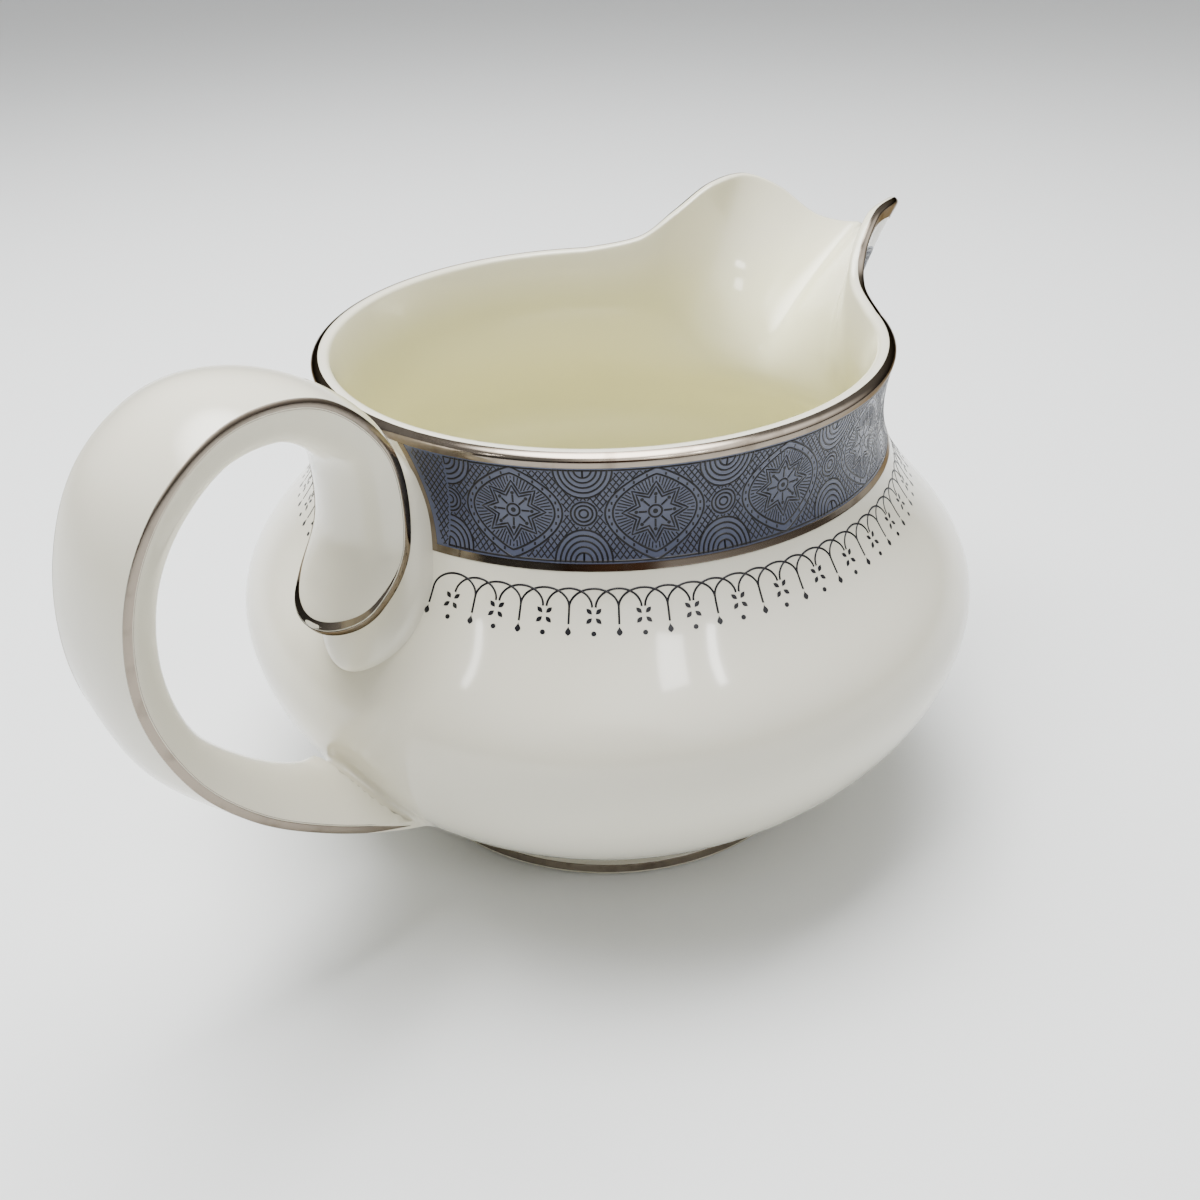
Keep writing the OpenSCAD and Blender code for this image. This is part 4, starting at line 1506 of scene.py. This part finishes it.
@dataclass
class NeckBand:
    """Printed slate band round the neck with its dark linework and its platinum frame."""

    shape: JugShape
    line_z: float = 53.2
    line_w: float = 0.8
    height: float = 11.6
    drop: float = 5.2
    gap_low: float = 6.7
    gap_high: float = 2.4
    end_w: float = 0.9
    film: float = 0.03
    line_film: float = 0.07
    ink_film: float = 0.015
    margin: float = 7.4
    repeat: float = 15.5
    pen: float = 0.23
    fine_pen: float = 0.15
    # The pointed oval frame: half width, its distance from the band's edges, and between its two lines
    frame_half: float = 5.6
    frame_gap: float = 0.25
    frame_step: float = 0.85
    frame_power: float = 0.8
    frame_steps: int = 33
    dashes: int = 12
    dash_reach: float = 0.8
    dash_half: float = 0.18
    # Radius of the two stars, and between their points as a share of it
    star: tuple = (3.75, 0.62)
    small_star: tuple = (3.1, 0.6)
    star_points: int = 8
    # The two circles of the star's eye, and the start and end of its spokes with a dot past them
    eye: tuple = (0.75, 0.3)
    spoke: tuple = (0.95, 1.9)
    dot_at: float = 2.15
    dot_r: float = 0.22
    # The fans at the band's edges, narrower than high by the squeeze, and the rings between them
    fan_radii: tuple = (1.1, 1.75, 2.4, 3.05, 3.7)
    fan_squeeze: float = 0.86
    fan_base: float = 0.15
    fan_stem: tuple = (0.1, 1.1)
    ring_radii: tuple = (0.5, 1.0, 1.45)
    border: float = 0.28
    # The lattice, and how near it comes to the frame, the edges and the middles of the rings and fans
    hatch_pitch: float = 0.72
    hatch_slope: float = 1.35
    frame_clear: float = 0.2
    edge_clear: float = 0.4
    ring_clear: float = 1.6
    fan_clear: float = 3.85
    # In the band's ends: how near it comes to the first repeat and the edges, and to the end itself
    end_clear: float = 0.2
    end_inset: float = 0.1
    # The rays round the star: how many, their steps, and how far from its middle and the edges they stop
    rays: int = 64
    ray_step: float = 0.15
    ray_reach: float = 6.5
    ray_end: float = 1.3
    # Their gap from the star, and how sharply their starts follow its points
    ray_gap: float = 0.3
    ray_power: float = 1.3
    # Rows and columns of the films and of the guide
    rows: int = 25
    end_rows: int = 30
    film_columns: tuple = (110, 220)
    guide_columns: tuple = (150, 420)

    def top_z(self) -> float:
        """Plain height of the band's upper edge."""
        return self.line_z + self.line_w + self.height

    def gap(self, z: Values) -> np.ndarray:
        """Half of the gap at the handle, as an angle, at plain heights z."""
        t = (z - self.line_z) / (self.top_z() - self.line_z)
        return np.degrees(mix(self.gap_low, self.gap_high, t) / self.shape.radius(z))

    def patch(self, low: float, high: float, drop: float, film: float, name: str) -> Piece:
        """Builds a thin film round the neck, open at the handle.

        Args:
            low: plain height of its lower edge.
            high: plain height of its upper edge.
            drop: how much lower the upper edge is under the lip.
            film: thickness.
            name: name of the piece.

        Returns:
            The film.
        """
        jug = self.shape
        share = np.linspace(0, 1, self.rows)
        z_end = mix(low, high, share)
        columns = jug.columns(*self.film_columns)
        before, after = columns[columns > HALF_TURN], columns[columns < HALF_TURN]
        order = np.concatenate([[HALF_TURN], before, after + TURN, [HALF_TURN + TURN]])
        first = HALF_TURN + self.gap(z_end)[:, None]
        last = HALF_TURN + TURN - self.gap(z_end)[:, None]
        angles = mix(first, last, ((order - HALF_TURN) / TURN)[None, :])
        heights = mix(low, high - drop * jug.under_lip(angles), share[:, None])
        under = jug.raised(angles, heights, -FILM_SINK)
        over = jug.raised(angles, heights, film)
        return strip_solid(name, np.concatenate([under, over[::-1]], 0).transpose(1, 0, 2))

    def build(self, slate: Finish, ink: Finish, lustre: Finish, prints: PrintTree) -> None:
        """Builds and dresses the band, its platinum lines and its linework.

        Args:
            slate: finish of the band.
            ink: finish of its linework.
            lustre: finish of its frame.
            prints: what lays the linework.
        """
        low = self.line_z + self.line_w
        band = self.patch(low, self.top_z(), self.drop, self.film, "neck_band_print")
        finish_piece(band, slate, ("neck_band",))
        line = self.patch(self.line_z, low, 0.0, self.line_film, "neck_platinum")
        finish_piece(line, lustre, ("neck_line",))
        finish_piece(self.end_lines(), lustre, ("band_end_lines",))
        self.linework(ink, prints)

    def end_lines(self) -> Piece:
        """Builds the platinum lines down the two ends of the band.

        Returns:
            Both lines as one piece.
        """
        z = np.linspace(self.line_z, self.top_z(), self.end_rows)
        far = self.gap(z)
        near = far - np.degrees(self.end_w / self.shape.radius(z))
        parts = []
        for side in (-1, 1):
            angles = np.stack([HALF_TURN + side * a for a in (near, (near + far) / 2, far)], 1)
            under = self.shape.raised(angles, z[:, None], -FILM_SINK)
            over = self.shape.raised(angles, z[:, None], self.line_film)
            parts.append(strip_solid("band_end_platinum_part", np.concatenate([under, over[:, ::-1]], 1)))
        with bpy.context.temp_override(active_object=parts[0], selected_editable_objects=parts):
            bpy.ops.object.join()
        parts[0].name = "band_end_platinum"
        return parts[0]

    def guide(self) -> tuple:
        """Builds the guide surface of the band.

        Returns:
            The surface and its flat length at mid height.
        """
        jug = self.shape
        low, high = self.line_z + self.line_w, self.top_z()
        columns = jug.columns(*self.guide_columns)
        before, after = columns[columns > HALF_TURN], columns[(columns > 0) & (columns < HALF_TURN)]
        order = np.concatenate([before, [TURN], after + TURN])
        share = np.linspace(0, 1, self.rows)
        heights = mix(low, high - self.drop * jug.under_lip(order)[None, :], share[:, None])
        along = lengths(jug.skin(order, heights[len(share) // 2]))
        sheet = guide_sheet("Band guide", jug, order, heights, along[None, :], share * self.height)
        return sheet, float(along[-1])

    def linework(self, ink: Finish, prints: PrintTree) -> None:
        """Lays dark outlines and hatching of the repeating pattern, in whole repeats round the neck.

        Args:
            ink: their finish.
            prints: what lays them.
        """
        sheet, length = self.guide()
        row = length - 2 * self.margin
        count = round(row / self.repeat)
        pitch = row / count
        for name, motif, n, start in (
                ("neck_band_linework", self.outlines(pitch), count, self.margin),
                ("neck_band_hatching", self.hatching(pitch), count, self.margin),
                ("neck_band_end_hatching", self.end_hatching(length), 1, 0.0)):
            piece = prints.lay(name, motif, sheet, ink, n, pitch, start, self.ink_film, self.film)
            finish_piece(piece)
        bpy.data.objects.remove(sheet)

    def frame_w(self, y: float, grow: float = 0.0) -> float:
        """Half width of the pointed oval frame at a height from its middle."""
        share = abs(y) / (self.height / 2 - self.frame_gap + grow)
        return (self.frame_half + grow) * math.cos(math.pi / 2 * min(1.0, share)) ** self.frame_power

    def frame_line(self, x: float, grow: float) -> list:
        """Outline of the pointed oval frame.

        Args:
            x: place of its middle along the row.
            grow: how far the line lies outside the frame.

        Returns:
            Its points.
        """
        c = self.height / 2
        top = c - self.frame_gap + grow
        heights = top * np.sin(np.radians(np.linspace(-QUARTER_TURN, QUARTER_TURN, self.frame_steps)))
        side = [(self.frame_w(y, grow), y) for y in heights]
        return [(x + w, c + y) for w, y in side] + [(x - w, c + y) for w, y in side[-2:0:-1]]

    def star_line(self, x: float, r: float, dent: float) -> list:
        """Outline of a star.

        Args:
            x: place of its middle along the row.
            r: its radius.
            dent: radius between its points, as a share.

        Returns:
            Its points.
        """
        out = []
        for k in range(2 * self.star_points):
            reach = r if k % 2 == 0 else r * dent
            angle = math.radians(HALF_TURN / self.star_points * k)
            out.append((x + reach * math.cos(angle), self.height / 2 + reach * math.sin(angle)))
        return out

    def outlines(self, w: float) -> Motif:
        """Draws one repeat: an oval frame round a star, and stacked fans and a ring between the frames.

        Args:
            w: length of the repeat.

        Returns:
            The drawing.
        """
        m = Motif(self.pen)
        for grow in (0.0, -self.frame_step):
            m.line(self.frame_line(w / 2, grow), True)
        self.draw_star(m, w / 2)
        self.draw_dashes(m, w / 2)
        self.draw_between(m, w)
        for y in (self.border, self.height - self.border):
            m.line([(0, y), (w, y)])
        return m

    def draw_dashes(self, m: Motif, x: float) -> None:
        """Adds dashes between the two lines of the oval frame.

        Args:
            m: drawing.
            x: place of the frame's middle.
        """
        c = self.height / 2
        for k in range(self.dashes):
            y = mix(-self.dash_reach, self.dash_reach, k / (self.dashes - 1)) * c
            for way in (-1, 1):
                at = x + way * (self.frame_w(y) + self.frame_w(y, -self.frame_step)) / 2
                m.line([(at, c + y - self.dash_half), (at, c + y + self.dash_half)])

    def draw_star(self, m: Motif, x: float) -> None:
        """Adds the two stars with their eye, spokes and dots.

        Args:
            m: drawing.
            x: place of their middle.
        """
        c = self.height / 2
        m.line(self.star_line(x, *self.star), True).line(self.star_line(x, *self.small_star), True)
        m.circle(x, c, self.eye[0], steps=16).circle(x, c, self.eye[1], steps=10, filled=True)
        for k in range(self.star_points):
            angle = math.radians(TURN / self.star_points * k)
            along = np.array([math.cos(angle), math.sin(angle)])
            m.line([(x, c) + along * self.spoke[0], (x, c) + along * self.spoke[1]])
            dot = (x, c) + along * self.dot_at
            m.circle(dot[0], dot[1], self.dot_r, steps=8, filled=True)

    def draw_between(self, m: Motif, w: float) -> None:
        """Adds the halves of the fans and rings that the repeat shares with its neighbours.

        Args:
            m: drawing.
            w: length of the repeat.
        """
        for edge, way in ((self.fan_base, 1), (self.height - self.fan_base, -1)):
            for r in self.fan_radii:
                for side, start in ((0.0, 0.0), (w, QUARTER_TURN)):
                    a, b = (start, start + QUARTER_TURN) if way > 0 else (-start - QUARTER_TURN, -start)
                    m.arc(side, edge, r * self.fan_squeeze, r, a, b, steps=9)
            for side in (0.0, w):
                m.line([(side, edge + way * end) for end in self.fan_stem])
        for side, start in ((0.0, -QUARTER_TURN), (w, QUARTER_TURN)):
            for r in self.ring_radii:
                m.arc(side, self.height / 2, r, r, start, start + HALF_TURN, steps=12)

    def hatching(self, w: float) -> Motif:
        """Draws the lattice of one repeat round its shapes, and rays between frame and star.

        Args:
            w: length of the repeat.

        Returns:
            The drawing.
        """
        h, c, mid = self.height, self.height / 2, w / 2
        m = Motif(self.fine_pen)

        def ground(x: float, y: float) -> bool:
            """Tests the ground of the lattice.

            Args:
                x: place along the row.
                y: place up the row.

            Returns:
                Whether the place lies outside every shape of the repeat.
            """
            if abs(x - mid) < self.frame_w(y - c) + self.frame_clear or min(y, h - y) < self.edge_clear:
                return False
            for side in (0.0, w):
                along = (x - side) / self.fan_squeeze
                if math.hypot(x - side, y - c) < self.ring_clear:
                    return False
                if min(math.hypot(along, y), math.hypot(along, h - y)) < self.fan_clear:
                    return False
            return True

        m.hatch(ground, (0.0, 0.0, w, h), self.hatch_pitch, self.hatch_slope)
        for k in range(self.rays):
            self.draw_ray(m, mid, k)
        return m

    def draw_ray(self, m: Motif, x: float, k: int) -> None:
        """Adds one ray from the star out to the frame.

        Args:
            m: drawing.
            x: place of the star's middle.
            k: number of the ray.
        """
        c = self.height / 2
        angle = math.radians(TURN / self.rays * k)
        half = self.rays // self.star_points / 2
        share = abs((k % (2 * half)) - half) / half
        r = mix(self.star[0] * self.star[1], self.star[0], share ** self.ray_power) + self.ray_gap
        run = []
        while r < self.ray_reach:
            across, up = r * math.cos(angle), r * math.sin(angle)
            side = self.frame_w(up, -self.frame_step) - self.ray_step
            if abs(across) > side or abs(up) > c - self.ray_end:
                break
            run.append((x + across, c + up))
            r += self.ray_step
        m.keep_run(run)

    def end_hatching(self, length: float) -> Motif:
        """Draws the lattice in the slanting ends of the band, up to the first and last repeat.

        Args:
            length: flat length of the band.

        Returns:
            The drawing.
        """
        h = self.height
        m = Motif(self.fine_pen)

        def edge(y: float) -> float:
            """Flat place of the band's end at a height."""
            share = (y + self.line_w) / (h + self.line_w)
            return mix(self.gap_low, self.gap_high, share) + self.end_inset

        def ground(x: float, y: float) -> bool:
            """Whether a place lies between the band's end and the first repeat."""
            near = self.end_clear
            return edge(y) < min(x, length - x) < self.margin - near and near < y < h - near

        for left, right in ((0.0, self.margin), (length - self.margin, length)):
            m.hatch(ground, (left, 0.0, right, h), self.hatch_pitch, self.hatch_slope)
        return m


@dataclass
class LaceBorder:
    """Interlaced arches with florets and drops on the shoulder. Its places up are plain heights."""

    shape: JugShape
    count: int = 46
    first_angle: float = 14.4
    top_z: float = 51.5
    floret_z: float = 48.9
    arch_z: float = 49.7
    stem_z: float = 48.15
    drop_z: float = 47.55
    dot_z: float = 47.35
    pen: float = 0.25
    film: float = 0.03
    # Plain heights between which the guide runs, and its rows and columns
    guide_z: tuple = (44.5, 52.6)
    guide_steps: tuple = (41, 720)
    arch_inset: float = 0.2
    petals: int = 4
    petal_start: float = 0.3
    petal_size: tuple = (0.92, 0.5)
    drop_size: tuple = (1.1, 0.66)
    drop_tip: float = 1.5
    dot_r: float = 0.29

    def guide_rows(self) -> tuple:
        """Plain heights of the guide's rows, and their flat places up."""
        z = np.linspace(*self.guide_z, self.guide_steps[0])
        return z, lengths(np.stack([self.shape.radius(z), z], -1))

    def place(self, height: float) -> float:
        """Flat place up the guide of a plain height."""
        z, up = self.guide_rows()
        return float(np.interp(height, z, up))

    def build(self, ink: Finish, prints: PrintTree) -> None:
        """Builds and dresses the border.

        Args:
            ink: its finish.
            prints: what lays it.
        """
        jug = self.shape
        z, up = self.guide_rows()
        pitch_a = TURN / self.count
        start = HALF_TURN + self.first_angle - 2 * pitch_a
        angles = np.linspace(start, start + TURN + 2 * pitch_a, self.guide_steps[1])
        mean_r = float(jug.radius(self.floret_z))
        along = np.radians(angles - start) * mean_r
        heights = z[:, None] + 0 * angles[None, :]
        sheet = guide_sheet("Border guide", jug, angles, heights, along[None, :], up)
        pitch = math.radians(pitch_a) * mean_r
        florets = self.count - 3
        repeat = self.motif(Motif(self.pen), 0.0, pitch, True)
        ends = self.drop(Motif(self.pen), 1.5 * pitch)
        ends = self.motif(ends, (florets + 1) * pitch, pitch, False)
        for name, motif, n, first in (("shoulder_border_print", repeat, florets - 1, 2 * pitch),
                                      ("shoulder_border_ends", ends, 1, 0.0)):
            finish_piece(prints.lay(name, motif, sheet, ink, n, pitch, first, self.film))
        bpy.data.objects.remove(sheet)

    def drop(self, m: Motif, x: float) -> Motif:
        """Adds a stem with its drop.

        Args:
            m: drawing.
            x: place along the row.

        Returns:
            The drawing.
        """
        length, width = self.drop_size
        m.line([(x, self.place(self.arch_z)), (x, self.place(self.stem_z))])
        top = self.place(self.drop_z) + length / 2
        return m.petal(x, top, length, width, -QUARTER_TURN, steps=12, tip=self.drop_tip)

    def motif(self, m: Motif, x: float, w: float, more: bool) -> Motif:
        """Adds one repeat with its floret.

        Args:
            m: drawing.
            x: place of the floret along the row.
            w: length of the repeat.
            more: whether an arch leads on to a next repeat.

        Returns:
            The drawing.
        """
        levels = (self.top_z, self.floret_z, self.arch_z, self.dot_z)
        top, floret, low, dot = (self.place(z) for z in levels)
        m.arc(x, low, w / 2, top - low, HALF_TURN, 0, steps=24)
        if more:
            m.arc(x + w / 2, low, w / 2 - self.arch_inset, top - low, HALF_TURN, 0, steps=24)
        for k in range(self.petals):
            way = TURN / self.petals * (k + 0.5)
            turn = math.radians(way)
            at = (x + self.petal_start * math.cos(turn), floret + self.petal_start * math.sin(turn))
            m.petal(*at, *self.petal_size, way, steps=10)
        m.circle(x, dot, self.dot_r, steps=14, filled=True)
        return self.drop(m, x + w / 2)


@dataclass
class Studio:
    """Pale floor, soft lights and the camera at the photograph's place.

    The camera's place is in millimetres, and the floor and the lamps are in metres.
    """

    floor_half: float = 4.0
    floor_colour: str = "#E6E8E8"
    floor_roughness: float = 0.7
    camera_at: tuple = (-118.296, -99.262, 122.511)
    camera_axes: tuple = ((0.639222, 0.420866, -0.643635), (-0.768802, 0.329692, -0.547948),
                          (-0.018411, 0.845088, 0.534309))
    lens: float = 36.0
    sensor: float = 36.0
    nearest: float = 0.01
    dim: str = "#39342F"
    # Direction, where the change starts and where it is full as cosines, and the colour there
    room: tuple = (
        ((0.0, 0.0, 1.0), 0.0, 0.85, "#FFFFFF"),
        ((-0.736, -0.626, 0.26), 0.92, 0.975, "#3A2A20"),
    )
    room_strength: float = 0.55
    # What only glossy surfaces mirror: direction, cosines where it starts and is full, and extra strength
    panels: tuple = (
        ((0.0, 0.0, 1.0), 0.86, 0.99, 20.0),
        ((0.05, -0.98, 0.2), 0.3, 0.7, 3.0),
    )
    # Colour of the room where the camera sees past the floor
    backdrop: str = "#D6D8D8"
    lamp_aim: tuple = (0, 0, 0.03)
    # Name, place, width and height, power in watts, and whether glossy surfaces mirror it
    lamps: tuple = (
        ("Softbox overhead", (0.02, 0.1, 0.55), (0.5, 0.4), 9.6, False),
        ("Fill from the window side", (-0.35, -0.45, 0.6), (0.5, 0.4), 0.15, False),
        ("Near window", (-0.29, -0.58, 0.71), (0.115, 0.08), 0.45, True),
        ("Far window", (-0.13, -0.67, 0.68), (0.038, 0.1), 0.32, True),
        ("Side window", (-0.69, 0.1, 0.66), (0.03, 0.15), 0.3, True),
    )

    def build(self) -> None:
        """Builds the floor, the room, the lamps and the camera."""
        self.floor()
        self.walls()
        for lamp in self.lamps:
            self.light(*lamp)
        self.camera()

    def floor(self) -> None:
        """Lays a plain pale floor."""
        s = self.floor_half
        mesh = bpy.data.meshes.new("Floor")
        mesh.from_pydata([(-s, -s, 0), (s, -s, 0), (s, s, 0), (-s, s, 0)], [], [(0, 1, 2, 3)])
        floor = add_object("Floor", mesh)
        mesh.materials.append(new_finish("Matt white paper", {
            "Base Color": linear(self.floor_colour), "Roughness": self.floor_roughness})[0])

    def zone(self, tree: bpy.types.NodeTree, toward: tuple, start: float, full: float,
             most: float = 1.0) -> bpy.types.NodeSocket:
        """Soft-edged zone of the room round a direction.

        Args:
            tree: nodes of the room.
            toward: direction of its middle.
            start: cosine of the angle from its middle where it starts.
            full: cosine where it is full.
            most: value where it is full.

        Returns:
            Output that is 0 outside the zone.
        """
        way = add_node(tree, "ShaderNodeTexCoord").outputs["Generated"]
        level = add_node(tree, "ShaderNodeVectorMath", {"operation": "DOT_PRODUCT", 1: toward}, {0: way})
        limits = {"interpolation_type": "SMOOTHSTEP", "From Min": start, "From Max": full, "To Max": most}
        share = add_node(tree, "ShaderNodeMapRange", limits, {"Value": level.outputs["Value"]})
        return share.outputs["Result"]

    def walls(self) -> None:
        """Makes the room: pale overhead, dim behind the camera, with glows that only glossy surfaces mirror.

        Where the camera sees past the floor, it sees an even pale backdrop.
        """
        world = bpy.data.worlds.new("Room")
        world.use_nodes = True
        tree = world.node_tree
        ground = tree.nodes["Background"]
        ray = add_node(tree, "ShaderNodeLightPath").outputs
        strength = add_node(tree, "ShaderNodeValue").outputs[0]
        strength.default_value = self.room_strength
        for toward, start, full, extra in self.panels:
            panel = self.zone(tree, toward, start, full, extra)
            strength = add_node(tree, "ShaderNodeMath", {"operation": "MULTIPLY_ADD"},
                                {0: panel, 1: ray["Is Glossy Ray"], 2: strength}).outputs["Value"]
        tree.links.new(strength, ground.inputs["Strength"])
        tint = None
        for toward, start, full, colour in self.room:
            share = self.zone(tree, toward, start, full)
            colours = {"data_type": "RGBA", COLOUR_A: linear(self.dim), COLOUR_B: linear(colour)}
            mixed = add_node(tree, "ShaderNodeMix", colours, {0: share})
            if tint:
                tree.links.new(tint, mixed.inputs[COLOUR_A])
            tint = mixed.outputs[COLOUR_OUT]
        tree.links.new(tint, ground.inputs["Color"])
        seen = add_node(tree, "ShaderNodeBackground", {"Color": linear(self.backdrop)})
        both = add_node(tree, "ShaderNodeMixShader", None, {
            0: ray["Is Camera Ray"], 1: ground.outputs["Background"], 2: seen.outputs["Background"]})
        tree.links.new(both.outputs["Shader"], tree.nodes["World Output"].inputs["Surface"])
        bpy.context.scene.world = world

    def light(self, name: str, at: tuple, size: tuple, power: float, mirrored: bool) -> None:
        """Hangs one lamp, turned to the jug.

        Args:
            name: its name.
            at: its place.
            size: width and height.
            power: power in watts.
            mirrored: whether glossy surfaces mirror it.
        """
        light = bpy.data.lights.new(name, "AREA")
        light.shape = "RECTANGLE"
        light.size, light.size_y = size
        light.energy = power
        lamp = add_object(name, light)
        lamp.location = at
        lamp.visible_glossy = mirrored
        lamp.rotation_euler = (Vector(self.lamp_aim) - Vector(at)).to_track_quat("-Z", "Y").to_euler()

    def camera(self) -> None:
        """Sets up the camera at the photograph's viewpoint."""
        data = bpy.data.cameras.new("Camera")
        data.lens = self.lens
        data.sensor_width = self.sensor
        data.clip_start = self.nearest
        camera = add_object("Camera", data)
        axes = Matrix(self.camera_axes).to_4x4()
        camera.matrix_world = Matrix.Translation(Vector(self.camera_at) * MM) @ axes
        bpy.context.scene.camera = camera


def main() -> None:
    """Builds every sub-assembly in order and reports each piece."""
    logging.basicConfig(level=logging.INFO, format="%(name)s: %(message)s")
    jug = JugShape()
    glaze, lustre = Glaze().build(), Lustre().build()
    slate = Ink("Slate-blue ceramic print", "#4F5467", roughness=0.25, sheen=0.4).build()
    ink = Ink("Near-black ceramic print", "#0E0D12", roughness=0.3, sheen=0.25).build()
    prints = PrintTree()
    ChinaBody(jug).build(glaze)
    handle = ScrollHandle(jug)
    handle.build(glaze)
    Gilding(jug, handle).build(lustre)
    NeckBand(jug).build(slate, ink, lustre, prints)
    LaceBorder(jug).build(ink, prints)
    Studio().build()


if __name__ == "__main__":
    main()
